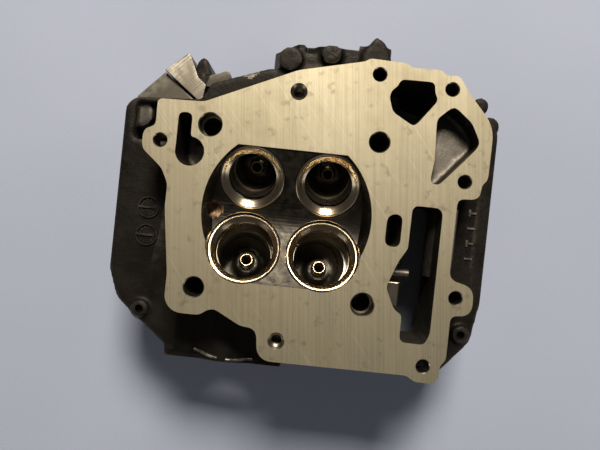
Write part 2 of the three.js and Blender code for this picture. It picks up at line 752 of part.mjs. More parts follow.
for (const [side, x] of [["left", leftBearingX], ["right", rightBearingX]]) {
  const bearing = new THREE.Group();
  head.add(bearing);
  add(bearing, `camshaft_cap_${side}`, bearingCap(x), look.aluminium());
  for (const [end, y] of [["intake", -capBoltY], ["exhaust", capBoltY]]) {
    const spot = new THREE.Group();
    spot.position.set(x, y, -camDepth);
    bearing.add(spot);
    const seatLevel = 10 + fitGap; // below the cam axis
    const shank = post(0, 0, -10, seatLevel + 1, capBoltRadius, 12);
    const flange = post(0, 0, seatLevel, seatLevel + 1.6, 6, 16);
    const hex = prism(hexShape(8), seatLevel + 1, seatLevel + 6);
    add(spot, `cap_bolt_${side}_${end}`, join([shank, flange, hex]), look.zinc());
    const dowel = tube(capDowelRadius, capBoltRadius + fitGap, -capDowelLength / 2, capDowelLength / 2, 14);
    add(spot, `cap_dowel_${side}_${end}`, dowel, look.steel());
  }
}

// The camshaft turns about X in its own group, whose origin is on the cam axis.
const cam = new THREE.Group();
cam.position.z = -camDepth;
head.add(cam);
const alongX = (x) => new THREE.Vector3(x, 0, 0);
const shaftBar = (x0, x1, radius, segments = 20) => rod(alongX(x0), alongX(x1), radius, radius, segments);

function lobe(x, turn) {
  const reach = camBase + camLift - camNose;
  const meet = Math.acos((camBase - camNose) / reach);
  const shape = new THREE.Shape();
  shape.absarc(0, 0, camBase, meet, 2 * Math.PI - meet, false);
  shape.absarc(reach, 0, camNose, -meet, meet, false);
  const geometry = new THREE.ExtrudeGeometry(shape, { depth: camWidth, bevelEnabled: false, curveSegments: 9 });
  return solid(geometry.rotateZ(turn).rotateY(Math.PI / 2).translate(x - camWidth / 2, 0, 0));
}

const grooveRadius = shaftRadius - 1.5;
const sprocketFace = sprocketX - sprocketThickness / 2;
const pilotRadius = 7;
const sprocketBoltSpan = 22;
const intakeTurn = THREE.MathUtils.degToRad(60);
const exhaustTurn = THREE.MathUtils.degToRad(-50);

function camshaft() {
  const leftEnd = leftBearingX - bearingWidth / 2 - 3;
  const bars = [
    shaftBar(leftEnd, sprocketFace - fitGap, shaftRadius),
    shaftBar(leftEnd, leftBearingX + bearingWidth / 2 + 2, journalRadius),
    shaftBar(rightBearingX - bearingWidth / 2 + fitGap, rightBearingX + bearingWidth / 2 + 1, journalRadius),
    shaftBar(coreHalfWidth + 1, sprocketFace - fitGap, journalRadius + 5),
    shaftBar(rightBearingX + bearingWidth / 2, coreHalfWidth + 2, shaftRadius),
    shaftBar(sprocketFace - 1, sprocketFace + sprocketThickness, pilotRadius - fitGap, 20),
  ];
  const lobes = [
    lobe(-intakeValve.x, intakeTurn),
    lobe(-intakeValve.x + 14, exhaustTurn),
    lobe(intakeValve.x - 14, exhaustTurn),
    lobe(intakeValve.x, intakeTurn),
  ];
  const groove = shaftBar(thrustX - thrustPlateThickness - 2 * fitGap, thrustX + fitGap, shaftRadius + 3)
    .subtract(shaftBar(thrustX - 9, thrustX + 9, grooveRadius));
  const bolts = sprocketBolts.map(([y, z]) =>
    rod(new THREE.Vector3(sprocketFace - 12, y, z), new THREE.Vector3(sprocketFace, y, z), 2.5 + fitGap, 2.5 + fitGap, 14),
  );
  const oilway = shaftBar(leftEnd - 1, leftEnd + 20, 3.5, 12);
  return cut(join([...bars, ...lobes]), [groove, ...bolts, oilway]);
}
const sprocketBolts = [
  [sprocketBoltSpan / 2, 0],
  [-sprocketBoltSpan / 2, 0],
];

function sprocket() {
  const root = sprocketRadius - 2.1;
  const tip = sprocketRadius + 1.9;
  const pitch = (2 * Math.PI) / sprocketTeeth;
  const ring = [[-0.26, root], [-0.1, tip], [0.1, tip], [0.26, root]];
  const teeth = Array.from({ length: sprocketTeeth }, (_, i) =>
    ring.map(([share, radius]) => {
      const angle = (i + share) * pitch;
      return new THREE.Vector2(Math.cos(angle), Math.sin(angle)).multiplyScalar(radius);
    }),
  ).flat();
  const shape = new THREE.Shape(teeth);
  const hole = (x, y, radius) => new THREE.Path().absarc(x, y, radius, 0, 2 * Math.PI, true);
  const windowReach = (root + pilotRadius) / 2 + 1.5;
  shape.holes.push(
    hole(0, 0, pilotRadius),
    ...sprocketBolts.map(([y]) => hole(0, y, 2.5 + fitGap)),
    hole(windowReach, 0, 4),
    hole(-windowReach, 0, 4),
  );
  const geometry = new THREE.ExtrudeGeometry(shape, {
    depth: sprocketThickness, bevelEnabled: false, curveSegments: 8,
  });
  return solid(geometry.rotateY(Math.PI / 2).translate(sprocketFace, 0, 0));
}

add(cam, "camshaft", camshaft(), look.cam());
add(cam, "cam_sprocket", sprocket(), look.steel());
sprocketBolts.forEach(([y, z], i) => {
  const face = sprocketFace + sprocketThickness + fitGap;
  const spot = new THREE.Group();
  spot.position.set(face, y, z);
  cam.add(spot);
  const shank = shaftBar(-12, 1, 2.5, 14);
  const hex = prism(hexShape(8), 0, 4);
  const headShape = solid(toGeometry(hex).rotateY(Math.PI / 2).translate(4, 0, 0));
  add(spot, `sprocket_bolt_${i + 1}`, join([shank, shaftBar(0, 1, 5, 20), headShape]), look.zinc());
});

// The thrust plate stands in the camshaft's groove and is screwed to the chain-side bearing.
const thrustPlate = new THREE.Group();
thrustPlate.position.set(thrustX - fitGap, 0, -camDepth);
head.add(thrustPlate);
const plateShape = prism(
  roundedShape([[3, grooveRadius - 1, 1], [bearingHalfSpan, 12, 3], [bearingHalfSpan, 0.5, 1], [3, 0.5, 1]]),
  0, thrustPlateThickness,
);
const plateSolid = solid(toGeometry(plateShape).rotateX(Math.PI / 2).rotateZ(Math.PI / 2));
add(
  thrustPlate, "camshaft_thrust_plate",
  cut(plateSolid, [
    shaftBar(-9, 9, grooveRadius + fitGap),
    rod(thrustScrewAt(-9), thrustScrewAt(9), thrustScrewRadius + fitGap, thrustScrewRadius + fitGap, 12),
  ]),
  look.steel(),
);
add(
  thrustPlate, "thrust_plate_screw",
  join([
    rod(thrustScrewAt(-thrustPlateThickness - fitGap - 3), thrustScrewAt(-thrustPlateThickness - fitGap), 4),
    rod(thrustScrewAt(-thrustPlateThickness - 1), thrustScrewAt(thrustScrewReach), thrustScrewRadius,
      thrustScrewRadius, 12),
  ]),
  look.zinc(),
);

// Core plugs, screw plugs and the copper washer, each with its axis along Y.
const alongY = (y) => new THREE.Vector3(0, y, 0);
const wallBar = (y0, y1, radius, segments = 18) => rod(alongY(y0), alongY(y1), radius, radius, segments);
function onWall(plug) {
  const spot = new THREE.Group();
  spot.position.copy(wallPoint(plug, 0));
  head.add(spot);
  return spot;
}
for (const plug of corePlugs) {
  const cup = wallBar(0.6, 4.6, corePlugRadius).subtract(wallBar(0, 3, corePlugRadius - 1.6));
  add(onWall(plug), `core_plug_${plug.side}`, cup, look.zinc());
}
const hexAlongY = (acrossFlats, y0, y1) => {
  const bar = toGeometry(prism(hexShape(acrossFlats), 0, y1 - y0)).rotateX(Math.PI / 2);
  return solid(bar.translate(0, y0, 0));
};
add(
  onWall(galleryPlug), "oil_gallery_plug",
  wallBar(0.5, boxWall, galleryPlugRadius).subtract(hexAlongY(5, -1, 4)), look.steel(),
);
const drain = onWall(drainPlug);
const washerThickness = 1.5;
const drainFace = -washerThickness - 2 * fitGap;
const washer = wallBar(-washerThickness - fitGap, -fitGap, drainWasherRadius)
  .subtract(wallBar(-3, 1, drainPlugRadius + fitGap));
add(drain, "coolant_drain_washer", washer, look.copper());
add(
  drain, "coolant_drain_plug",
  join([wallBar(drainFace - 1, boxWall, drainPlugRadius), wallBar(drainFace - 1.5, drainFace, 7.4),
    hexAlongY(10, drainFace - 6, drainFace - 1)]),
  look.zinc(),
);

// Hollow dowels that place the cover, just below the gasket face.
coverPillars.slice(0, 2).forEach(([x, y], i) => {
  const spot = new THREE.Group();
  spot.position.set(x, y, -headHeight + fitGap);
  head.add(spot);
  const dowel = tube(coverDowelRadius, coverDowelRadius - 1.2, 0, coverDowelLength, 16);
  add(spot, `cover_dowel_${i === 0 ? "left" : "right"}`, dowel, look.steel());
});

// The head stands on its cover gasket face, with the origin under the middle of its outline.
const extent = new THREE.Box3().setFromObject(head);
const middle = extent.getCenter(new THREE.Vector3());
head.position.set(-middle.x, -middle.y, -extent.min.z);

export default head;
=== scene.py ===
import math

import bpy
from mathutils import Matrix, Vector


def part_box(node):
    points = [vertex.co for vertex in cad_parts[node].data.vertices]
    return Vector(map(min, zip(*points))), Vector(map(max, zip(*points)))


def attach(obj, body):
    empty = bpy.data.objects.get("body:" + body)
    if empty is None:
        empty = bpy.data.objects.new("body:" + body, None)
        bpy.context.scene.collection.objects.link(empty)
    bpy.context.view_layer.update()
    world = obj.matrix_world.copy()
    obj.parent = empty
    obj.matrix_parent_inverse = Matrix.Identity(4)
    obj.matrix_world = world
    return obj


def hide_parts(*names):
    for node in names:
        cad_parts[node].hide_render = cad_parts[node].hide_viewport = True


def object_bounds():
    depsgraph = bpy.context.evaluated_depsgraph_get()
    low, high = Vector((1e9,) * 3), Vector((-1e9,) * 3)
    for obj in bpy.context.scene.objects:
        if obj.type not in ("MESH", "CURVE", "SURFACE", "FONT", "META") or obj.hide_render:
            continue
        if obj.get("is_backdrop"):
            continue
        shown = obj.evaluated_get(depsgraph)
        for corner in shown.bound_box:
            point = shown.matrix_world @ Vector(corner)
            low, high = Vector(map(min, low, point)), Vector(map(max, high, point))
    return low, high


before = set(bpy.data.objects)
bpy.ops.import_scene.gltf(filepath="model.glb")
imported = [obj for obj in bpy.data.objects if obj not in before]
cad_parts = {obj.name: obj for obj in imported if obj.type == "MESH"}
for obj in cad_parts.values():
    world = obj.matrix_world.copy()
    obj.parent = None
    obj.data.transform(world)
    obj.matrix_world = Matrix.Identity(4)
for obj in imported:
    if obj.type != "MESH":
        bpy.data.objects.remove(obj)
cad_low, cad_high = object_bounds()

# ---------------------------------------------------------------- rough casting
# The head is one gravity-die casting in aluminium: a deck flange, a waist round the water jacket
# and a wide rocker box below. It leaves the die with rounded edges, drafted hollows and a little
# stock on the faces that are machined afterwards. All its sizes are millimetres from the bore axis
# at the deck, with depths counted down from the deck.
MM = 0.001
deck_z = cad_high.z
intake_seats = [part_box(f"intake_{side}_valve_seat") for side in ("left", "right")]
axis_x = sum(corner.x for pair in intake_seats for corner in pair) / 4
axis_y = sum(corner.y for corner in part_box("camshaft_cap_left")) / 2
head_origin = Vector((axis_x, axis_y, deck_z))

HEIGHT = (deck_z - cad_low.z) / MM
BOX_LEFT = (axis_x - cad_low.x) / MM
BOX_RIGHT = 119
CAM_DEPTH = (deck_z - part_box("camshaft_cap_left")[1].z) / MM - 0.3
DECK_THICK = 14
SHOULDER = 30
ROOF = 6
WALL = 7
BOX_FRONT = 84
CORE_HALF = 60
NOTCH_Y = 36
FLOOR_DEPTH = CAM_DEPTH - 13
STOCK = 3
VOXEL = 1.3
CAST_RATIO = 0.35

DECK_OUTLINE = [
    (-74.6, 54.6, 2), (-50, 55.3, 8), (-1.4, 77.3, 14), (34, 85.7, 1), (35.6, 87.4, 1.5),
    (56.2, 86.9, 1.2), (57.3, 84.8, 1), (74.4, 85.2, 3), (78, 82.4, 2), (84, 83.6, 4),
    (89.5, 75.6, 5), (105.2, 58, 20), (105, 29.5, 3), (102.2, 26.5, 1), (101.6, 18.4, 7),
    (90.1, 18, 2.5), (90, -25.4, 5), (104, -28.6, 7), (104, -44, 8), (93, -44.6, 2.5),
    (93, -68.6, 3), (90.1, -72, 2), (90.1, -82, 8), (77, -82, 6), (73.2, -79, 3),
    (-7.9, -79.3, 8), (-9.6, -62.5, 5), (-18.5, -61.8, 7), (-34.8, -53.4, 6), (-41, -58.3, 4),
    (-60.4, -58.3, 14.4), (-60.3, -38, 14), (-65, -3, 24), (-65, 10, 8), (-69, 18, 8),
    (-80.6, 27.6, 6), (-80.6, 38, 7), (-74.3, 39.8, 2),
]
BOX_OUTLINE = [
    (-BOX_LEFT, 60, 9), (-58, 63, 3), (-53, 73, 3), (-20, 85, 4), (62, 93, 8), (97, 85, 8),
    (BOX_RIGHT, 62, 12), (BOX_RIGHT, -40, 16), (BOX_RIGHT - 4, -64, 9),
    (BOX_RIGHT - 21, -BOX_FRONT, 6), (-65, -BOX_FRONT, 5), (6 - BOX_LEFT, -59, 14),
    (-BOX_LEFT, -42, 10),
]
TUNNEL_OUTLINE = [
    (66.6, 11.9, 2.5), (83, 11.9, 3.5), (83, -55.5, 1), (80.6, -61.7, 1.5), (66.9, -61.5, 2.5),
    (66.9, -47, 2), (62.4, -44.4, 2), (57, -33, 3.5), (62.2, -18.5, 3), (66.4, -11.5, 2),
]
DRAIN_OUTLINE = [
    (53, 78.1, 2), (71.6, 78.4, 2), (72, 73, 1), (74.2, 68.9, 1.2), (63, 53.6, 2.5),
    (50.6, 60.4, 3), (48, 68.5, 3), (49.4, 72.6, 1.5), (51.8, 74, 1),
]
POCKET_OUTLINE = [
    (83, 67, 2.5), (93.4, 58.8, 5), (98.8, 48.6, 3.5), (97, 45, 2), (79.4, 24.2, 2.5),
    (74.2, 24.4, 2), (75.6, 37, 9), (74.5, 59, 3),
]
SLOT_OUTLINE = [(53.7, 6.4, 5), (62, 6.4, 2.5), (62, -11.2, 2.5), (53.7, -11.2, 3)]
KEY_OUTLINE = [(-62.6, 48.8, 1.5), (-55.2, 48.8, 1.5), (-55.2, 30, 0.5), (-62.6, 26, 0.5)]
FIN_OUTLINE = [(33, 88, 0.5), (34, 100, 0.5), (41, 110, 1.5), (46.5, 107, 1), (53, 93, 1),
               (53, 86, 0.5)]


def rounded(corners, step=0.8):
    """Points round a closed outline whose corners (x, y, radius) are arcs."""
    points = []
    for i, (x, y, radius) in enumerate(corners):
        corner = Vector((x, y))
        before = Vector(corners[i - 1][:2]) - corner
        after = Vector(corners[(i + 1) % len(corners)][:2]) - corner
        half = before.angle(after) / 2
        reach = min(radius / math.tan(half), before.length * 0.49, after.length * 0.49)
        arc = reach * math.tan(half)
        middle = (before.normalized() + after.normalized()).normalized()
        centre = corner + middle * (arc / math.sin(half))
        sweep = (math.pi - 2 * half) * (1 if before.cross(after) < 0 else -1)
        start = corner + before.normalized() * reach - centre
        steps = max(2, round(abs(sweep * arc) / step))
        for k in range(steps + 1):
            turn = Matrix.Rotation(sweep * k / steps, 2)
            points.append(centre + turn @ start)
    return points


def inset(corners, distance):
    """The same outline with every edge moved inwards, for a wall of even thickness."""
    ring = [Vector(corner[:2]) for corner in corners]
    side = 1 if sum(ring[i - 1].cross(ring[i]) for i in range(len(ring))) > 0 else -1
    moved = []
    for i, (x, y, radius) in enumerate(corners):
        first = (ring[i] - ring[i - 1]).normalized()
        second = (ring[(i + 1) % len(ring)] - ring[i]).normalized()
        scale = side * distance / (1 + first.dot(second))
        moved.append((x - (first.y + second.y) * scale, y + (first.x + second.x) * scale,
                      max(radius - distance, 1)))
    return moved


def select_only(*pieces):
    bpy.ops.object.select_all(action="DESELECT")
    for piece in pieces:
        piece.select_set(True)
    bpy.context.view_layer.objects.active = pieces[0]


def edit(piece, *steps):
    """Opens a piece in edit mode with all of it selected and runs the given steps on it."""
    select_only(piece)
    bpy.ops.object.mode_set(mode="EDIT")
    bpy.ops.mesh.select_all(action="SELECT")
    for step in steps:
        step()
    bpy.ops.object.mode_set(mode="OBJECT")
    return piece


def face_out():
    bpy.ops.mesh.select_all(action="SELECT")
    bpy.ops.mesh.remove_doubles(threshold=0.001)
    bpy.ops.mesh.delete_loose()
    bpy.ops.mesh.select_all(action="SELECT")
    bpy.ops.mesh.normals_make_consistent(inside=False)


def ring_of(name, places):
    """A closed ring of points, from a circle whose points are moved to their places."""
    bpy.ops.object.select_all(action="DESELECT")
    bpy.ops.mesh.primitive_circle_add(vertices=len(places), radius=1)
    made = bpy.context.object
    made.name = name
    for vertex, place in zip(made.data.vertices, places):
        vertex.co = place
    return made


def pulled(ring, move):
    """Fills a closed ring of points and pulls the face out into a solid."""
    return edit(
        ring, bpy.ops.mesh.edge_face_add,
        lambda: bpy.ops.mesh.extrude_region_move(TRANSFORM_OT_translate={"value": move}), face_out)


def plate(name, corners, top, bottom):
    """A plate, or a plate-shaped cutter, between two depths."""
    outline = ring_of(name, [(p.x, p.y, -bottom) for p in rounded(corners)])
    return pulled(outline, (0, 0, bottom - top))


def block(name, x, y, top, bottom):
    """A square-edged block between two x values, two y values and two depths."""
    bpy.ops.object.select_all(action="DESELECT")
    bpy.ops.mesh.primitive_cube_add(
        size=1, location=((x[0] + x[1]) / 2, (y[0] + y[1]) / 2, -(top + bottom) / 2),
        scale=(x[1] - x[0], y[1] - y[0], bottom - top))
    made = bpy.context.object
    made.name = name
    bpy.ops.object.transform_apply()
    return made


def bar(name, start, end, radius, end_radius=None, sides=48):
    """A round bar or cone from one point to another."""
    start, end = Vector(start), Vector(end)
    along = end - start
    bpy.ops.object.select_all(action="DESELECT")
    bpy.ops.mesh.primitive_cone_add(
        vertices=sides, radius1=radius, radius2=radius if end_radius is None else end_radius,
        depth=along.length, location=(start + end) / 2,
        rotation=along.to_track_quat("Z", "Y").to_euler())
    made = bpy.context.object
    made.name = name
    bpy.ops.object.transform_apply()
    return made


def post(name, x, y, top, bottom, radius, end_radius=None, sides=48):
    return bar(name, (x, y, -top), (x, y, -bottom), radius, end_radius, sides)


def combine(target, tools, operation="DIFFERENCE"):
    """Joins each tool to the target, or cuts or keeps by it; the tools are used up."""
    for tool in tools:
        modifier = target.modifiers.new(operation.lower(), "BOOLEAN")
        modifier.operation = operation
        modifier.solver = "MANIFOLD"
        modifier.material_mode = "TRANSFER"
        modifier.object = tool
        select_only(target)
        bpy.ops.object.modifier_apply(modifier=modifier.name)
        bpy.data.objects.remove(tool)
    return target


def join(first, *others):
    return combine(first, others, "UNION")


def cut(target, *tools):
    return combine(target, tools)


def modify(piece, kind, **settings):
    modifier = piece.modifiers.new(kind.lower(), kind)
    for name, value in settings.items():
        setattr(modifier, name, value)
    select_only(piece)
    bpy.ops.object.modifier_apply(modifier=modifier.name)
    return piece


def soften(piece, width, segments=2, degrees=50):
    """Breaks the edges that turn by more than an angle."""
    return modify(piece, "BEVEL", width=width, segments=segments, limit_method="ANGLE",
                  angle_limit=math.radians(degrees))


def slope_top(piece, depth_at):
    """Moves the upper face of a plate from level to a slope."""
    top = max(vertex.co.z for vertex in piece.data.vertices)
    for vertex in piece.data.vertices:
        if vertex.co.z > top - 0.01:
            vertex.co.z = -depth_at(vertex.co.x, vertex.co.y)
    return piece


# Valve stations: the seat plane, the stem line and the spring pocket of each of the four valves.
TILT = math.radians(20)
SLOPE = math.tan(TILT)
CHAMBER_EXHAUST_Y = 34.8
CHAMBER_INTAKE_Y = -38.5
CHAMBER_LIP = 0.6
RIDGE_DEPTH = CHAMBER_LIP + (CHAMBER_EXHAUST_Y - CHAMBER_INTAKE_Y) / 2 * SLOPE
GUIDE_REACH = 24
GUIDE_RADIUS = 4.6
GUIDE_STAND = 15
SPRING_POCKET = 14.5


class Valve:
    """Where one valve stands and how big its seat is."""

    def __init__(self, name, side, x, y, seat, throat, port_x, port_face):
        self.name, self.side, self.x, self.y = name, side, x, y
        self.seat, self.throat, self.port_x, self.port_face = seat, throat, port_x, port_face
        edge = CHAMBER_EXHAUST_Y - y if side > 0 else y - CHAMBER_INTAKE_Y
        self.depth = CHAMBER_LIP + edge * SLOPE
        self.pocket = (FLOOR_DEPTH - self.depth) / math.cos(TILT) - SPRING_POCKET * SLOPE

    def at(self, distance):
        """A point on the stem line, a distance behind the seat plane."""
        stem = Vector((0, self.side * math.sin(TILT), -math.cos(TILT)))
        return Vector((self.x, self.y, -self.depth)) + stem * distance


INTAKE_PORT = {"x": -30, "face": -90, "radius": 19}
EXHAUST_PORT = {"x": 16, "face": 101, "radius": 16}
PORT_DEPTH = 50
PORT_TOP = 31
PORT_BOTTOM = 76
PORT_HALF = 35
PORT_SHELL = 3.9
MOUTH_WALL = 4.5
POCKET_FLOOR = 3.5
POCKET_OVERRUN = 26
VALVES = [
    Valve("intake_left", -1, -21.5, -20.5, 20, 15.6, INTAKE_PORT["x"], INTAKE_PORT["face"]),
    Valve("intake_right", -1, 21.5, -20.5, 20, 15.6, INTAKE_PORT["x"], INTAKE_PORT["face"]),
    Valve("exhaust_left", 1, -20.9, 17.8, 18, 12.8, EXHAUST_PORT["x"], EXHAUST_PORT["face"]),
    Valve("exhaust_right", 1, 20.9, 17.8, 18, 12.8, EXHAUST_PORT["x"], EXHAUST_PORT["face"]),
]

PLUG_TILT = math.radians(42)
PLUG_LINE = Vector((-math.sin(PLUG_TILT), 0, -math.cos(PLUG_TILT)))
PLUG_START = Vector((-40, -1, -(RIDGE_DEPTH - 4)))
PLUG_REACH = 19
PLUG_WELL = 11
well_length = (BOX_LEFT + 12 - 40) / math.sin(PLUG_TILT)

BEARINGS = {"left": -45, "right": 49}
BEARING_WIDTH = 16
BEARING_HALF = 25
STUDS = [(-45.4, 43.65, True), (45.4, 43.65, False), (-45.4, -43.65, False), (45.4, -43.65, True)]
COVER_PILLARS = [(21 - BOX_LEFT, -63.6), (BOX_RIGHT - 10.8, -59.4), (8 - BOX_LEFT, 51),
                 (BOX_RIGHT - 12, 62)]


def port_run(valve, radius):
    """The curved passage of one valve, from its throat to the flange."""
    side = valve.side
    points = [
        valve.at(8), valve.at(GUIDE_REACH + 6),
        Vector((valve.port_x + (valve.x - valve.port_x) * 0.4, valve.port_face - side * 36,
                -PORT_DEPTH)),
        Vector((valve.port_x + (valve.x - valve.port_x) * 0.12, valve.port_face - side * 16,
                -PORT_DEPTH)),
    ]
    bpy.ops.object.select_all(action="DESELECT")
    bpy.ops.curve.primitive_bezier_curve_add(radius=1)
    run = bpy.context.object
    run.name = f"{valve.name}_port"
    first, last = run.data.splines[0].bezier_points
    for point, place, handle in ((first, points[0], points[1]), (last, points[3], points[2])):
        point.handle_left_type = point.handle_right_type = "FREE"
        point.co = place
        point.handle_left = point.handle_right = handle
    first.handle_left, last.handle_right = points[0] * 2 - points[1], points[3] * 2 - points[2]
    run.data.dimensions = "3D"
    run.data.resolution_u = 20
    run.data.bevel_depth = radius
    run.data.bevel_resolution = 10
    run.data.use_fill_caps = True
    bpy.ops.object.convert(target="MESH")
    return edit(bpy.context.object, face_out)


def port_mouth(port, radius, out, length):
    side = math.copysign(1, port["face"])
    return bar("port_mouth", (port["x"], port["face"] - side * length, -PORT_DEPTH),
               (port["x"], port["face"] + side * out, -PORT_DEPTH), radius * 0.86, radius)


def port_block(port, near):
    """The square block of metal that carries a port flange."""
    side = math.copysign(1, port["face"])
    ends = sorted((near, port["face"] + side * STOCK))
    return block("port_block", (port["x"] - PORT_HALF, port["x"] + PORT_HALF), ends, PORT_TOP,
                 PORT_BOTTOM)


# Outside of the casting: deck flange, waist, shoulder, walls and the rim that takes the cover.
deck = plate("deck_flange", DECK_OUTLINE, -STOCK, DECK_THICK)
waist = plate("waist", inset(DECK_OUTLINE, 2.2), DECK_THICK - 1, SHOULDER + 2)
cut(waist, block("ear_relief", (-90, -66.5), (20, 50), DECK_THICK, SHOULDER + 1))
shoulder = plate("shoulder", BOX_OUTLINE, SHOULDER, SHOULDER + 9)
walls = plate("walls", inset(BOX_OUTLINE, 1.4), SHOULDER + 3, HEIGHT + STOCK)
rim = plate("rim", BOX_OUTLINE, HEIGHT - 9, HEIGHT + STOCK)
intake_block = port_block(INTAKE_PORT, WALL - BOX_FRONT)
exhaust_block = port_block(EXHAUST_PORT, 70)
cut(exhaust_block, block("exhaust_slot", (0, 8), (96.5, 110), PORT_TOP - 1, PORT_TOP + 6))
corner_cut = ring_of("corner_cut", [(-27, 84, -25), (0, 84, -25), (-20, 84, -56), (-27, 84, -56)])
cut(exhaust_block, pulled(corner_cut, (0, 30, 0)))
RIB_PLACES = (-60, -50, -37)
block_ribs = [bar("block_rib", (x, -58, -PORT_TOP - 1.5), (x, -86, -PORT_TOP - 1.5), 3.2)
              for x in RIB_PLACES]
exhaust_boss = post("exhaust_boss", EXHAUST_PORT["x"], 96, PORT_TOP - 4, PORT_TOP + 8, 6)
flange_boss = post("flange_boss", -8, 91, PORT_TOP - 4, PORT_TOP + 8, 7)
fin = plate("fin", FIN_OUTLINE, PORT_TOP - 2, PORT_TOP + 14)
corner_bosses = [post("corner_boss", BOX_RIGHT - 11, 77, 34, 70, 5),
                 post("corner_boss", BOX_RIGHT - 3, 66, 38, 70, 6)]
pillar_bosses = [post("pillar_boss", x, y, SHOULDER - 3, SHOULDER + 4, 5.2)
                 for x, y in COVER_PILLARS[:2]]
CORE_DEPTH = (SHOULDER + FLOOR_DEPTH) / 2
WALL_PLUGS = {"core_left": (28, CORE_DEPTH, 8.3), "core_right": (50, CORE_DEPTH, 8.3),
              "gallery": (72, CAM_DEPTH - 3, 5.3), "drain": (90, CAM_DEPTH - 3, 4.3)}


def wall_bar(name, plug, start, end, radius, sides=48):
    """A round bar square to the intake-side wall, measured inwards from its face."""
    x, depth, _ = WALL_PLUGS[plug]
    return bar(name, (x, start - BOX_FRONT, -depth), (x, end - BOX_FRONT, -depth), radius,
               sides=sides)


wall_bosses = [wall_bar("wall_boss", plug, -0.8, WALL - 2,
                        WALL_PLUGS[plug][2] + 4.5) for plug in WALL_PLUGS]
BACK_LUG = [
    (-66, 72, 1), (-64.7, 86, 1.5), (-62, 90, 2), (-58.5, 89.5, 2), (-55.5, 82, 1), (-52, 70, 1),
]
back_lug = plate("back_lug", BACK_LUG, 39, 80)
outside = join(deck, waist, shoulder, walls, rim, intake_block, exhaust_block, exhaust_boss,
               flange_boss, fin,
               *corner_bosses, *pillar_bosses, *wall_bosses, *block_ribs, back_lug)

# Inside: the rocker bay over the middle and two full-height side cavities, with an open corner.
inner = plate("inner", inset(BOX_OUTLINE, WALL), SHOULDER + ROOF, HEIGHT + 10)
cut(inner, block("core", (-CORE_HALF, CORE_HALF), (-120, 120), 0, FLOOR_DEPTH))
open_corner = block("open_corner", (WALL - BOX_LEFT, -66.5), (NOTCH_Y, 58), SHOULDER - 1,
                    SHOULDER + ROOF + 1)
cut(outside, inner, open_corner)

# Metal that stands inside: bearing pedestals, stud pads, cover pillars, port shells, plug well.
envelope = plate("envelope", inset(BOX_OUTLINE, 2.4), SHOULDER + 1, HEIGHT - 4)
shells = [port_run(valve, valve.throat + PORT_SHELL) for valve in VALVES]
well = bar("plug_well", PLUG_START + PLUG_LINE * PLUG_REACH, PLUG_START + PLUG_LINE * well_length,
           PLUG_WELL + 4)
inside = join(shells[0], *shells[1:], well)
combine(inside, [envelope], "INTERSECT")
for side, x in BEARINGS.items():
    join(inside, block("pedestal", (x - BEARING_WIDTH / 2, x + BEARING_WIDTH / 2),
                       (-BEARING_HALF, BEARING_HALF), FLOOR_DEPTH - 2, CAM_DEPTH + STOCK))
for x, y, _ in STUDS:
    join(inside, post("stud_pad", x, y, FLOOR_DEPTH - 2, FLOOR_DEPTH + 5, 10))
for x, y in COVER_PILLARS:
    join(inside, post("pillar", x, y, SHOULDER + ROOF - 3, HEIGHT + STOCK, 8))
for port in (INTAKE_PORT, EXHAUST_PORT):
    join(inside, port_mouth(port, port["radius"] + MOUTH_WALL, 0, 20))
casting = join(outside, inside)

# Hollows that come from the die and the sand cores.
guide_bosses = [bar("guide_boss", valve.at(GUIDE_REACH + 5), valve.at(valve.pocket),
                    GUIDE_RADIUS + 2,
                    GUIDE_RADIUS + 5) for valve in VALVES]
runs = [port_run(valve, valve.throat - 0.6) for valve in VALVES]
ports = join(runs[0], *runs[1:], port_mouth(INTAKE_PORT, INTAKE_PORT["radius"], 9, 26),
             port_mouth(EXHAUST_PORT, EXHAUST_PORT["radius"], 9, 26))
pocket_bosses = [bar("pocket_boss", valve.at(valve.pocket - POCKET_FLOOR),
                     valve.at(valve.pocket + POCKET_OVERRUN), SPRING_POCKET + 3, sides=72)
                 for valve in VALVES]
cut(ports, *guide_bosses, *pocket_bosses)
through_roof = SHOULDER + ROOF + 1
tunnel = plate("tunnel", TUNNEL_OUTLINE, -STOCK - 1, through_roof)
drain = plate("drain", DRAIN_OUTLINE, -STOCK - 1, through_roof)
pocket = plate("pocket", POCKET_OUTLINE, -STOCK - 1, 12)
for vertex in pocket.data.vertices:
    if vertex.co.z < 0:
        vertex.co.z = -9 - (vertex.co.y - 24) * 0.14
slot = plate("slot", SLOT_OUTLINE, -STOCK - 1, SHOULDER)
key_slot = plate("key_slot", KEY_OUTLINE, -STOCK - 1, SHOULDER - 2)
key_hole = post("key_hole", -54.9, 28.3, -STOCK - 1, SHOULDER - 2, 7.9)
cut(casting, ports, tunnel, drain, pocket, slot, key_slot, key_hole)

# The die leaves every edge round, so the whole casting is skinned evenly, eased and thinned.
modify(casting, "REMESH", mode="VOXEL", voxel_size=VOXEL)
modify(casting, "SMOOTH", factor=0.5, iterations=4)
modify(casting, "DECIMATE", ratio=CAST_RATIO)

# ---------------------------------------------------------------- finishes of the casting
# Outside, the casting is painted satin black over its sandy skin; inside and in the ports it is
# bare. Edges that are handled rub bright, and faces that look up gather a little dust.


def node(tree, kind, settings=None, **inputs):
    """Adds a shader node; an input given as another node's output is wired to it."""
    made = tree.nodes.new("ShaderNode" + kind)
    for name, value in (settings or {}).items():
        setattr(made, name, value)
    for name, value in inputs.items():
        socket = made.inputs[name.replace("_", " ")]
        if isinstance(value, bpy.types.NodeSocket):
            tree.links.new(value, socket)
        else:
            socket.default_value = value
    return made


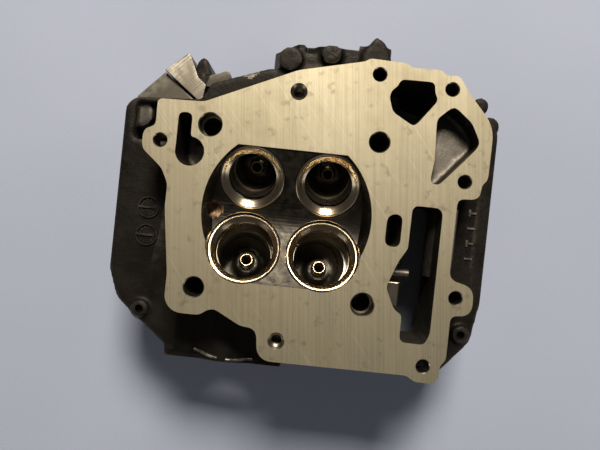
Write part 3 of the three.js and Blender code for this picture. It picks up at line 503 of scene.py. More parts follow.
def new_finish(name, metallic, roughness, colour=(0.8, 0.8, 0.8)):
    """A new material with its shader set, its node tree and the piece's own coordinates."""
    material = bpy.data.materials.new(name)
    material.use_nodes = True
    tree = material.node_tree
    shader = tree.nodes["Principled BSDF"]
    shader.inputs["Base Color"].default_value = (*colour, 1)
    shader.inputs["Metallic"].default_value = metallic
    shader.inputs["Roughness"].default_value = roughness
    place = node(tree, "TexCoord").outputs["Object"]
    return material, tree, shader, place


def new_group(name, inputs, outputs):
    group = bpy.data.node_groups.new(name, "ShaderNodeTree")
    for label in inputs:
        group.interface.new_socket(label, in_out="INPUT", socket_type="NodeSocketFloat")
    for label in outputs:
        group.interface.new_socket(label, in_out="OUTPUT", socket_type="NodeSocketFloat")
    return group, group.nodes.new("NodeGroupInput"), group.nodes.new("NodeGroupOutput")


def span(tree, value, low, high, start=0.0, end=1.0):
    """A value between low and high, spread evenly from start to end."""
    return node(tree, "MapRange", Value=value, From_Min=low, From_Max=high, To_Min=start,
                To_Max=end).outputs["Result"]


def noise(tree, place, scale, detail, rough=0.5):
    return node(tree, "TexNoise", Vector=place, Scale=scale, Detail=detail,
                Roughness=rough).outputs["Fac"]


def mix(tree, amount, first, second):
    return node(tree, "MixRGB", Fac=amount, Color1=first, Color2=second).outputs["Color"]


def times(tree, first, second, operation="MULTIPLY"):
    made = node(tree, "Math", {"operation": operation})
    for socket, value in zip(made.inputs, (first, second)):
        if isinstance(value, bpy.types.NodeSocket):
            tree.links.new(value, socket)
        else:
            socket.default_value = value
    return made.outputs["Value"]


def use_group(tree, group, **inputs):
    made = tree.nodes.new("ShaderNodeGroup")
    made.node_tree = group
    for name, value in inputs.items():
        made.inputs[name].default_value = value
    return made.outputs


def wire(tree, output, shader, name):
    tree.links.new(output, shader.inputs[name])


def tint(tree, shader, amount, first, second):
    """Colours a finish between two tones."""
    wire(tree, mix(tree, amount, (*first, 1), (*second, 1)), shader, "Base Color")


def dull(tree, shader, value, low, high, start, end):
    """Spreads a finish's roughness from start to end as a value goes from low to high."""
    wire(tree, span(tree, value, low, high, start, end), shader, "Roughness")


def bump(tree, shader, height, distance, strength):
    normal = node(tree, "Bump", Height=height, Distance=distance,
                  Strength=strength).outputs["Normal"]
    wire(tree, normal, shader, "Normal")


# Sandy skin: grains about a millimetre across on a slow unevenness, with cloudy patches.
sand_skin, given, made = new_group("sand_skin", ["Grain"], ["Height", "Patches", "Grit"])
skin_place = node(sand_skin, "TexCoord").outputs["Object"]
grains = node(sand_skin, "TexNoise", Vector=skin_place, Scale=given.outputs["Grain"], Detail=3.0,
              Roughness=0.6).outputs["Fac"]
swells = node(sand_skin, "TexNoise", Vector=skin_place, Scale=170.0, Detail=2.0).outputs["Fac"]
patches = node(sand_skin, "TexNoise", Vector=skin_place, Scale=32.0, Detail=5.0, Roughness=0.6)
skin_height = times(sand_skin, times(sand_skin, grains, 0.6), times(sand_skin, swells, 1.4), "ADD")
sand_skin.links.new(skin_height, made.inputs["Height"])
sand_skin.links.new(span(sand_skin, patches.outputs["Fac"], 0.35, 0.66), made.inputs["Patches"])
sand_skin.links.new(span(sand_skin, grains, 0.42, 0.62), made.inputs["Grit"])

# Rubbed edges: where the surface turns sharply outwards, broken up by a fine noise.
rubbed, given, made = new_group("rubbed_edges", ["Reach"], ["Mask"])
rub_place = node(rubbed, "TexCoord").outputs["Object"]
breaks = node(rubbed, "TexNoise", Vector=rub_place, Scale=260.0, Detail=4.0).outputs["Fac"]
edges = node(rubbed, "NewGeometry").outputs["Pointiness"]
sharp = span(rubbed, edges, 0.515, 0.60)
worn = times(rubbed, sharp, span(rubbed, breaks, 0.38, 0.62, 0.15, 1.0))
rubbed.links.new(times(rubbed, worn, given.outputs["Reach"]), made.inputs["Mask"])

# Dust: faces that look up, in patches.
dusty, given, made = new_group("dust", ["Amount"], ["Mask"])
dust_place = node(dusty, "TexCoord").outputs["Object"]
facing = node(dusty, "SeparateXYZ",
              Vector=node(dusty, "NewGeometry").outputs["Normal"]).outputs["Z"]
cloud = node(dusty, "TexNoise", Vector=dust_place, Scale=55.0, Detail=6.0, Roughness=0.65)
settled = times(dusty, span(dusty, facing, 0.5, 1.0), span(dusty, cloud.outputs["Fac"], 0.35, 0.75))
dusty.links.new(times(dusty, settled, given.outputs["Amount"]), made.inputs["Mask"])


def streaks(tree, place, degrees, fineness):
    """Fine straight lines at an angle in plan, as a noise pulled out along its length."""
    turned_place = node(tree, "Mapping", Vector=place,
                        Rotation=(0, 0, math.radians(degrees))).outputs["Vector"]
    pulled = node(tree, "Mapping", Vector=turned_place, Scale=(16, fineness, 16)).outputs["Vector"]
    return node(tree, "TexNoise", Vector=pulled, Scale=1.0, Detail=2.0).outputs["Fac"]


paint, tree, shader, place = new_finish("satin_black_paint", 0.0, 0.45)
skin = use_group(tree, sand_skin, Grain=1100.0)
tone = mix(tree, skin["Patches"], (0.0045, 0.0038, 0.0032, 1), (0.011, 0.0093, 0.0075, 1))
tone = mix(tree, use_group(tree, dusty, Amount=0.16)["Mask"], tone, (0.06, 0.052, 0.042, 1))
tone = mix(tree, use_group(tree, rubbed, Reach=0.5)["Mask"], tone, (0.15, 0.13, 0.10, 1))
shader.inputs["Specular IOR Level"].default_value = 0.17
shader.inputs["Specular Tint"].default_value = (1.0, 0.86, 0.72, 1)
wire(tree, tone, shader, "Base Color")
dull(tree, shader, skin["Patches"], 0.0, 1.0, 0.36, 0.52)
bump(tree, shader, skin["Height"], 0.0006, 0.55)

bare_cast, tree, shader, place = new_finish("bare_cast_aluminium", 0.85, 0.5)
skin = use_group(tree, sand_skin, Grain=900.0)
tone = mix(tree, skin["Patches"], (0.065, 0.055, 0.043, 1), (0.14, 0.12, 0.095, 1))
tone = mix(tree, use_group(tree, rubbed, Reach=0.6)["Mask"], tone, (0.42, 0.37, 0.29, 1))
wire(tree, tone, shader, "Base Color")
dull(tree, shader, skin["Grit"], 0.0, 1.0, 0.44, 0.54)
bump(tree, shader, skin["Height"], 0.0004, 0.3)

# Wing lugs: bare grey metal, brushed along their slope.
lug_grey, tree, shader, place = new_finish("brushed_lug", 0.9, 0.45)
brush = streaks(tree, place, -48, 1500)
skin = use_group(tree, sand_skin, Grain=1000.0)
tone = mix(tree, skin["Patches"], (0.075, 0.062, 0.045, 1), (0.14, 0.12, 0.088, 1))
tone = mix(tree, use_group(tree, rubbed, Reach=0.8)["Mask"], tone, (0.55, 0.50, 0.40, 1))
wire(tree, mix(tree, span(tree, brush, 0.3, 0.7, 0.0, 0.5), tone, (0.06, 0.05, 0.038, 1)), shader,
     "Base Color")
dull(tree, shader, brush, 0.3, 0.7, 0.34, 0.58)
bump(tree, shader, brush, 0.00012, 0.6)

# Deck: face-milled, so shallow arcs of a large cutter cross each other, with stains and scratches.
mill_marks, given, made = new_group("mill_marks", ["Lines"], ["Height", "Tone"])
mill_place = node(mill_marks, "TexCoord").outputs["Object"]
arcs = []
for centre, turn in (((-0.34, 0.22, 0), 0.0), ((0.30, 0.36, 0), 0.7)):
    moved = node(mill_marks, "Mapping", Vector=mill_place, Location=centre).outputs["Vector"]
    arc = node(mill_marks, "TexWave", {"wave_type": "RINGS", "rings_direction": "Z"}, Vector=moved,
               Scale=given.outputs["Lines"], Distortion=2.5, Detail=3.0, Detail_Scale=0.6,
               Phase_Offset=turn)
    arcs.append(arc.outputs["Fac"])
crossed = times(mill_marks, times(mill_marks, arcs[0], 0.6), times(mill_marks, arcs[1], 0.4), "ADD")
fade = node(mill_marks, "TexNoise", Vector=mill_place, Scale=24.0, Detail=4.0).outputs["Fac"]
mill_marks.links.new(crossed, made.inputs["Height"])
mill_marks.links.new(times(mill_marks, crossed, span(mill_marks, fade, 0.35, 0.65, 0.3, 1.0)),
                     made.inputs["Tone"])

milled, tree, shader, place = new_finish("milled_aluminium", 1.0, 0.4)
marks = use_group(tree, mill_marks, Lines=260.0)
stain = noise(tree, place, 18.0, 7.0, 0.62)
spots = noise(tree, place, 190.0, 3.0)
scratches = streaks(tree, place, 52, 1000)
drawn = streaks(tree, place, 84, 1300)
tone = mix(tree, span(tree, stain, 0.36, 0.66), (0.63, 0.545, 0.375, 1), (0.47, 0.40, 0.265, 1))
tone = mix(tree, span(tree, spots, 0.60, 0.72, 0.0, 0.45), tone, (0.22, 0.18, 0.115, 1))
tone = mix(tree, span(tree, scratches, 0.62, 0.74, 0.0, 0.38), tone, (0.74, 0.68, 0.53, 1))
tone = mix(tree, span(tree, drawn, 0.40, 0.65, 0.0, 0.28), tone, (0.28, 0.24, 0.155, 1))
tone = mix(tree, times(tree, marks["Tone"], 0.2), tone, (0.26, 0.22, 0.14, 1))
wire(tree, tone, shader, "Base Color")
wire(tree, times(tree, span(tree, stain, 0.3, 0.7, 0.46, 0.60), times(tree, marks["Tone"], 0.10),
                 "ADD"), shader,
     "Roughness")
bump(tree, shader, marks["Height"], 0.00003, 0.5)

# Bores and spot faces: cut metal with fine rings of tool marks. Its dark brown tones are painted shade,
# darker than fresh cut aluminium, so the holes read dark inside.
bored, tree, shader, place = new_finish("bored_aluminium", 1.0, 0.3)
lines = node(tree, "TexWave", {"bands_direction": "Z"}, Vector=place, Scale=900.0, Distortion=1.0,
             Detail=1.0).outputs["Fac"]
stain = noise(tree, place, 120.0, 4.0)
tint(tree, shader, span(tree, stain, 0.35, 0.7), (0.42, 0.37, 0.28), (0.24, 0.20, 0.145))
dull(tree, shader, stain, 0.3, 0.7, 0.24, 0.42)
bump(tree, shader, lines, 0.00003, 0.4)

# Combustion chamber: blasted, a dull brown-grey with finer grit than the outside. Its near-black tones
# are painted shade, far darker than bare cast metal, so the roof reads as a dark shaded hollow.
chamber_skin, tree, shader, place = new_finish("chamber_skin", 0.8, 0.42)
skin = use_group(tree, sand_skin, Grain=1500.0)
tone = mix(tree, skin["Patches"], (0.009, 0.007, 0.005, 1), (0.028, 0.022, 0.0155, 1))
tone = mix(tree, use_group(tree, rubbed, Reach=0.5)["Mask"], tone, (0.40, 0.34, 0.25, 1))
wire(tree, tone, shader, "Base Color")
dull(tree, shader, skin["Patches"], 0.0, 1.0, 0.33, 0.5)
bump(tree, shader, skin["Height"], 0.0004, 0.5)


def wear(piece, finish):
    piece.data.materials.clear()
    piece.data.materials.append(finish)
    return piece


def within(x, y, ring):
    """Whether a point lies inside a closed ring of corners."""
    inside_ring = False
    for i, (x1, y1) in enumerate(ring):
        x0, y0 = ring[i - 1]
        if (y0 > y) != (y1 > y) and x < (x1 - x0) * (y - y0) / (y1 - y0) + x0:
            inside_ring = not inside_ring
    return inside_ring


# Sand-cored and hidden skins stay bare; all the rest takes the paint.
wear(casting, paint)
casting.data.materials.append(bare_cast)
deck_ring = [corner[:2] for corner in inset(DECK_OUTLINE, 3.4)]
box_ring = [corner[:2] for corner in inset(BOX_OUTLINE, 5)]


def is_bare(centre):
    depth = -centre.z
    if depth < SHOULDER:
        return within(centre.x, centre.y, deck_ring)
    for port in (INTAKE_PORT, EXHAUST_PORT):
        if math.hypot(centre.x - port["x"],
                      depth - PORT_DEPTH) < port["radius"] + 1 and abs(centre.y) > 60:
            return True
    return depth > SHOULDER + 1.5 and within(centre.x, centre.y, box_ring)


for face in casting.data.polygons:
    face.material_index = 1 if is_bare(face.center) else 0

# ---------------------------------------------------------------- crisp cast details
# Small features stay sharper than the skin round them: the grey lugs at the exhaust corner, the
# ledge on the intake block, two date wheels, the raised marks and the pins in the chain tunnel.
WING_OUTER = [(-97.5, 61, 0.5), (-82, 78.3, 0.5), (-60.9, 60.2, 0.5), (-84, 58, 0.5)]
WING_INNER = [(-81.6, 78.2, 0.5), (-68.6, 91, 1.5), (-61.5, 76, 1), (-56.5, 72, 0.5),
              (-57.5, 60, 0.5)]
DATE_WHEELS = [(20 - BOX_LEFT, -3.8), (20.3 - BOX_LEFT, -20)]
wing_outer = slope_top(plate("wing_outer", WING_OUTER, 32, 80), lambda x,
                       y: 33 + (y - 58) * 0.18 - (x + 80) * 0.06)
wing_inner = slope_top(plate("wing_inner", WING_INNER, 29, 80), lambda x,
                       y: 30 + (y - 58) * 0.16 + (x + 70) * 0.05)
for wing in (wing_outer, wing_inner):
    soften(wear(wing, lug_grey), 0.5)
split = wear(bar("split", (-82.6, 79.2, -29), (-59.8, 59.4, -31), 0.5, sides=12), paint)
shell_radius = INTAKE_PORT["radius"] + MOUTH_WALL


def ledge_point(x):
    """A point on the ledge, which follows the block's top and the round port shell that rises in it."""
    across = shell_radius ** 2 - (x - INTAKE_PORT["x"]) ** 2
    depth = min(PORT_TOP, PORT_DEPTH - math.sqrt(max(across, 0)))
    return (x, -88 + 3.6 * ((x + 24) / 23) ** 2, 0.3 - depth)


STUB = [(-58, 72, 0.6), (-56, 79, 0.6), (-44.6, 83.4, 0.8), (-43.6, 79.3, 0.8), (-44, 72, 0.6)]
stub = plate("stub", STUB, 38, 60)
soften(wear(stub, lug_grey), 0.5)
LEDGE_STATIONS = ((-47, -43, -39, -35.5, -32.5), (-27.5, -24, -20, -16, -12))
ledges = []
for stations in LEDGE_STATIONS:
    runs = [wear(bar("ledge", ledge_point(first), ledge_point(second), 0.95, sides=16), lug_grey)
            for first, second in zip(stations, stations[1:])]
    ledges.append(join(runs[0], *runs[1:]))
tunnel_pin = wear(bar("tunnel_pin", (60, -25.8, -15), (71, -25.8, -15), 2.4), bare_cast)
tunnel_rib = wear(bar("tunnel_rib", (88, 13, -18), (88, -26, -20), 8, sides=64), bare_cast)
chain_guide_land = wear(block("guide_land", (55, 66.6), (-45, -30.5), 11, 32), bored)
modify(chain_guide_land, "BEVEL", width=1.2, segments=4)
corner_land = wear(bar("corner_land", (-96, 51.5, -46), (-64, 51.5, -46), 4.6, sides=64), lug_grey)
details = [wing_outer, wing_inner, stub, *ledges, tunnel_pin, tunnel_rib, chain_guide_land,
           corner_land]
for x, y in DATE_WHEELS:
    wheel = post("date_wheel", x, y, SHOULDER - 1.1, SHOULDER + 1, 6.4, sides=64)
    cut(wheel, post("wheel_floor", x, y, SHOULDER - 2, SHOULDER - 0.05, 5.5, sides=64))
    join(wheel, block("wheel_bar", (x - 5.8, x + 5.8), (y - 0.6, y + 0.6), SHOULDER - 1.1,
                      SHOULDER + 1))
    for k in range(12):
        turn = Matrix.Rotation(math.tau * (k + 0.5) / 12, 2) @ Vector((4.3, 0))
        join(wheel, post("wheel_dot", x + turn.x, y + turn.y, SHOULDER - 0.55, SHOULDER + 1, 0.42,
                         sides=10))
    details.append(wear(wheel, paint))
for k, y in enumerate((-14.5, -5.5, 3.5, 12.5)):
    mark = block("raised_mark", (BOX_RIGHT - 13, BOX_RIGHT - 8.4), (y - 0.6, y + 0.6),
                 SHOULDER - 0.8, SHOULDER + 1)
    if k % 2:
        join(mark, block("mark_foot", (BOX_RIGHT - 13, BOX_RIGHT - 11.8), (y - 2, y + 2),
                         SHOULDER - 0.8, SHOULDER + 1))
    details.append(wear(mark, lug_grey))
join(casting, *details)
cut(casting, split)
for x, y in COVER_PILLARS[:2]:
    cut(casting, wear(post("boss_hole", x, y, SHOULDER - 5, SHOULDER + 2, 2.4, sides=24), paint))

# ---------------------------------------------------------------- machining the casting
# The deck is milled first and everything is bored from it: stud and screw holes, dowel
# counterbores, the combustion chamber, seat pockets and throats; then the cover and flange faces,
# the camshaft bores and the spring pockets from below.
SCREW_HOLES = [(41.8, 79.5), (81.1, 75.6), (92.9, 27.3), (94.6, -35), (81.1, -73.2), (-71.2, 32.7)]
TAPPED_HOLES = [(-0.2, 65.9), (1.5, -67.8)]
BORE = 45.5
FIT = 0.3
FAR = 130


def holes(places, top, bottom, radius, finish, chamfer=0.0, sides=48):
    """One cutter for a set of round holes, each with a small countersink at its mouth."""
    drills = []
    for x, y in places:
        drill = post("drill", x, y, top, bottom, radius, sides=sides)
        if chamfer:
            join(drill, post("sink", x, y, -chamfer, chamfer, radius + 2 * chamfer, radius,
                             sides=sides))
        drills.append(drill)
    return wear(join(drills[0], *drills[1:]), finish)


def threaded(name, start, end, radius, pitch=1.25, depth=0.55):
    """A tapped hole's cutter: a round bar whose side is drawn out in thread ridges."""
    start, end = Vector(start), Vector(end)
    along = end - start
    turns = int(along.length / pitch)
    profile = [(0, 0), (radius, 0)]
    for k in range(turns):
        profile += [(radius, pitch * (k + 0.2)), (radius + depth, pitch * (k + 0.55)),
                    (radius, pitch * (k + 0.9))]
    profile += [(radius, along.length), (0, along.length)]
    tap = turned(name, profile, 48)
    tap.rotation_euler = along.to_track_quat("Z", "Y").to_euler()
    tap.location = start
    select_only(tap)
    bpy.ops.object.transform_apply()
    return tap


def turned(name, profile, steps=72):
    """A turned piece: a closed profile of (radius, height) points spun round Z."""
    made = ring_of(name, [(radius, 0, height) for radius, height in profile])
    return edit(
        made,
        lambda: bpy.ops.mesh.spin(steps=steps, angle=math.tau, center=(0, 0, 0), axis=(0, 0, 1)),
        face_out)


def put(piece, location=(0, 0, 0), turn=(0, 0, 0)):
    """Turns and moves a piece that was made at the origin, into its mesh."""
    piece.rotation_euler = turn
    piece.location = location
    select_only(piece)
    bpy.ops.object.transform_apply()
    return piece


def on_stem(piece, valve):
    """Stands a piece made round Z, seat plane at zero and stem downwards, at its valve."""
    return put(piece, valve.at(0), (valve.side * TILT, 0, 0))


deck_mill = wear(block("deck_mill", (-FAR, FAR), (-FAR, FAR), -20, 0), milled)
cover_mill = wear(block("cover_mill", (-FAR, FAR), (-FAR, FAR), HEIGHT, HEIGHT + 20), milled)
intake_mill = wear(block("intake_mill", (-70, 10), (-120, INTAKE_PORT["face"]), 25, 80), milled)
exhaust_mill = wear(block("exhaust_mill", (-24, 32), (EXHAUST_PORT["face"], 120), 25, 80), milled)
low_mill = wear(block("low_mill", (30, 56), (EXHAUST_PORT["face"], 120), 46, 80), milled)
cut(casting, join(deck_mill, intake_mill, join(exhaust_mill, low_mill), cover_mill))

stud_places = [stud[:2] for stud in STUDS]
dowel_places = [stud[:2] for stud in STUDS if stud[2]]
drilled = join(holes(stud_places, -1, HEIGHT, 5.25, bored, 0.6),
               holes(dowel_places, -1, 10, 6, bored, 0.6),
               holes(SCREW_HOLES, -1, HEIGHT + 2, 3.5, bored, 0.5))
for x, y in TAPPED_HOLES:
    tap = wear(threaded("tap", (x, y, 1), (x, y, -18), 3.0, 1.0, 0.5), bored)
    join(drilled, join(tap, wear(post("sink", x, y, -0.8, 1.4, 5.4, 3.2), bored)))
cut(casting, drilled)

bowl = wear(post("bowl", 0, 0, -1, RIDGE_DEPTH + 1, BORE + 0.4, BORE - 5, sides=128), chamber_skin)
ridge = rounded([(CHAMBER_INTAKE_Y, 1, 0.2), (CHAMBER_INTAKE_Y, -CHAMBER_LIP, 0.2),
                 ((CHAMBER_EXHAUST_Y + CHAMBER_INTAKE_Y) / 2, -RIDGE_DEPTH, 26),
                 (CHAMBER_EXHAUST_Y, -CHAMBER_LIP, 0.2), (CHAMBER_EXHAUST_Y, 1, 0.2)], 2)
roof_ring = ring_of("roof", [(0, point.x, point.y) for point in ridge])
roof = wear(put(pulled(roof_ring, (2 * BORE + 10, 0, 0)), (-BORE - 5, 0, 0)), chamber_skin)
combine(bowl, [roof], "INTERSECT")
soften(bowl, 1.6, 4, 25)
cut(casting, bowl)

for valve in VALVES:
    seat_bore = wear(bar("seat_bore", valve.at(-8), valve.at(6.5 + FIT), valve.seat + FIT,
                         sides=96), bored)
    throat = wear(bar("throat", valve.at(0), valve.at(16), valve.throat + 0.4, valve.throat - 0.8,
                      sides=96), bored)
    cut(casting, join(seat_bore, throat))
stems = []
for valve in VALVES:
    guide_hole = wear(bar("guide_hole", valve.at(GUIDE_REACH - 2), valve.at(valve.pocket + 30),
                          GUIDE_RADIUS + FIT), bored)
    spring_bore = wear(bar("spring_bore", valve.at(valve.pocket),
                           valve.at(valve.pocket + POCKET_OVERRUN), SPRING_POCKET, sides=72), bored)
    stems.append(join(guide_hole, spring_bore))

# The plug's thread is browned by heat, down to its well in the left-hand wall.
burnt, tree, shader, place = new_finish("burnt_thread", 0.9, 0.45, (0.26, 0.15, 0.08))
soot = noise(tree, place, 300.0, 4.0)
tint(tree, shader, span(tree, soot, 0.35, 0.65), (0.30, 0.18, 0.10), (0.12, 0.07, 0.04))
bump(tree, shader, soot, 0.0001, 0.4)
plug_thread = wear(threaded("plug_thread", PLUG_START - PLUG_LINE * 8,
                            PLUG_START + PLUG_LINE * (PLUG_REACH + 2), 4.4,
                            1.5, 0.8), burnt)
plug_well = wear(bar("well", PLUG_START + PLUG_LINE * PLUG_REACH,
                     PLUG_START + PLUG_LINE * (well_length + 20),
                     PLUG_WELL), bored)
stems.append(join(plug_thread, plug_well))
for port, side in ((INTAKE_PORT, -1), (EXHAUST_PORT, 1)):
    for hand in (-27, 27):
        stems.append(wear(threaded(
            "flange_tap", (port["x"] + hand, port["face"] + side, -PORT_DEPTH),
            (port["x"] + hand, port["face"] - side * 14, -PORT_DEPTH), 2.9, 1.0, 0.5), bored))
cut(casting, join(stems[0], *stems[1:]))

# From below: camshaft bores and trough, cap bolt and dowel holes, cover screws and dowels.
JOURNAL = 11
TROUGH = 21
CAP_BOLT_Y = 17.5
thrust_x = BEARINGS["right"] - BEARING_WIDTH / 2
THRUST_SCREW = Vector((0, 20.5, 7.5 - CAM_DEPTH))


def cam_bar(name, x0, x1, radius, sides=64):
    return bar(name, (x0, 0, -CAM_DEPTH), (x1, 0, -CAM_DEPTH), radius, sides=sides)


cap_face = wear(block("cap_face", (-60, 60), (-30, 30), CAM_DEPTH, CAM_DEPTH + 12), milled)
cam_cuts = join(wear(cam_bar("cam_bore", -64, 64, JOURNAL + FIT), bored), cap_face, wear(cam_bar(
    "trough", BEARINGS["left"] + BEARING_WIDTH / 2, thrust_x, TROUGH), bare_cast))
cap_places = [(x, y) for x in BEARINGS.values() for y in (-CAP_BOLT_Y, CAP_BOLT_Y)]
join(cam_cuts, holes(cap_places, FLOOR_DEPTH, HEIGHT - 12, 3.3, bored))
join(cam_cuts, holes(cap_places, CAM_DEPTH - 4.3, HEIGHT - 12, 4.8, bored))
join(cam_cuts, wear(bar("plate_tap", THRUST_SCREW + Vector((thrust_x - 4, 0, 0)),
                        THRUST_SCREW + Vector((thrust_x + 4.5, 0, 0)), 2.3, sides=24), bored))
for k, (x, y) in enumerate(COVER_PILLARS):
    screw = wear(threaded("cover_tap", (x, y, -HEIGHT - 1), (x, y, 20 - HEIGHT), 2.2, 1.0, 0.5),
                 bored)
    if k < 2:
        join(screw, wear(post("dowel_bore", x, y, HEIGHT - 7.6, HEIGHT + 1, 4.9), bored))
    join(cam_cuts, screw)

# Plug holes in the intake-side wall, each in a boss that is faced off first.
plug_cuts = []
for plug, (_, _, radius) in WALL_PLUGS.items():
    plug_cuts.append(wear(wall_bar("spot_face", plug, -4, 0, radius + 3.7), bored))
    depth = 5 if plug.startswith("core") else WALL + 1
    plug_cuts.append(wear(wall_bar("plug_hole", plug, -1, depth, radius), bored))
cut(casting, join(cam_cuts, *plug_cuts))

casting.name = "casting"


def smooth(piece, degrees=35):
    select_only(piece)
    bpy.ops.object.shade_smooth_by_angle(angle=math.radians(degrees))
    return piece


def settle(piece, body, slot_name, *nodes):
    """Brings a finished piece from millimetres at the bore axis to its place in the frame."""
    select_only(piece)
    piece.scale = (MM, MM, MM)
    piece.location = head_origin
    bpy.ops.object.transform_apply()
    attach(piece, body)
    if nodes:
        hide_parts(*nodes)
    return piece


modify(smooth(casting), "WEIGHTED_NORMAL", keep_sharp=True)
settle(casting, "head", "casting", "head_casting")

# ---------------------------------------------------------------- valve seats
# Four sintered steel rings shrunk into the chamber roof. Each is cut with three cones: a narrow
# ground face between a flatter cone above and a steeper one that runs into the throat.


def seat_steel(valve):
    """Ground steel whose tool rings run round this seat's own axis."""
    material, tree, shader, place = new_finish(f"{valve.name}_seat_steel", 1.0, 0.2)
    centre = head_origin + valve.at(0) * MM
    at_seat = node(tree, "Mapping", {"vector_type": "TEXTURE"}, Vector=place, Location=centre,
                   Rotation=(valve.side * TILT, 0, 0)).outputs["Vector"]
    rings = node(tree, "TexWave", {"wave_type": "RINGS", "rings_direction": "Z"}, Vector=at_seat,
                 Scale=1300.0,
                 Distortion=0.6, Detail=2.0).outputs["Fac"]
    # The golden-brown tones are a painted warm reflection on the steel, mottled between two tones by a
    # noise.
    reflection_tint_mottle = noise(tree, place, 70.0, 4.0)
    tone = mix(tree, span(tree, reflection_tint_mottle, 0.35, 0.65), (0.70, 0.58, 0.39, 1), (0.50, 0.36, 0.21, 1))
    wire(tree, mix(tree, times(tree, rings, 0.25), tone, (0.5, 0.43, 0.33, 1)), shader,
         "Base Color")
    dull(tree, shader, rings, 0.0, 1.0, 0.14, 0.26)
    bump(tree, shader, rings, 0.00002, 0.4)
    return material


for valve in VALVES:
    r, t = valve.seat, valve.throat
    seat = turned(f"{valve.name}_seat", [
        (t, -6.5), (r - 0.5, -6.5), (r, -6.0), (r, -0.7), (r - 0.3, -0.2), (r - 0.8, 0),
        (r - 1.4, -0.1),
        (r - 2.0, -0.55), (r - 2.6, -1.15), (r - 3.4, -1.95), (t + 0.35, -2.7), (t + 0.1, -3.6),
        (t, -4.6)], 96)
    on_stem(seat, valve)
    wear(seat, seat_steel(valve))
    settle(smooth(seat, 20), "head", "valve_seat", f"{valve.name}_valve_seat")

# ---------------------------------------------------------------- valve guides
# Pressed-in bronze sleeves. Their tips stand in the ports as bright rings round a dark bore.
guide_bronze, tree, shader, place = new_finish("guide_bronze", 1.0, 0.25)
blotch = noise(tree, place, 260.0, 4.0)
tint(tree, shader, span(tree, blotch, 0.35, 0.65), (0.86, 0.72, 0.48), (0.62, 0.47, 0.27))
dull(tree, shader, blotch, 0.3, 0.7, 0.18, 0.34)
turning = node(tree, "TexWave", {"bands_direction": "Z"}, Vector=place, Scale=1400.0,
               Distortion=0.5).outputs["Fac"]
bump(tree, shader, turning, 0.00003, 0.4)
GUIDE_BORE = 2.8
for valve in VALVES:
    top = -valve.pocket - GUIDE_STAND
    tip = -GUIDE_REACH
    guide = turned(f"{valve.name}_guide", [
        (GUIDE_BORE, top), (GUIDE_RADIUS - 0.7, top), (GUIDE_RADIUS, top + 0.7),
        (GUIDE_RADIUS, -valve.pocket - 0.6),
        (GUIDE_RADIUS - 0.25, -valve.pocket - 0.4), (GUIDE_RADIUS - 0.25, -valve.pocket - 0.1),
        (GUIDE_RADIUS, -valve.pocket), (GUIDE_RADIUS, tip - 2.8), (GUIDE_RADIUS - 0.2, tip - 1.6),
        (GUIDE_RADIUS - 0.9, tip - 0.3), (GUIDE_RADIUS - 1.2, tip), (GUIDE_BORE + 0.5, tip),
        (GUIDE_BORE, tip - 0.5)], 48)
    wear(on_stem(guide, valve), guide_bronze)
    settle(smooth(guide), "head", "valve_guide", f"{valve.name}_valve_guide")

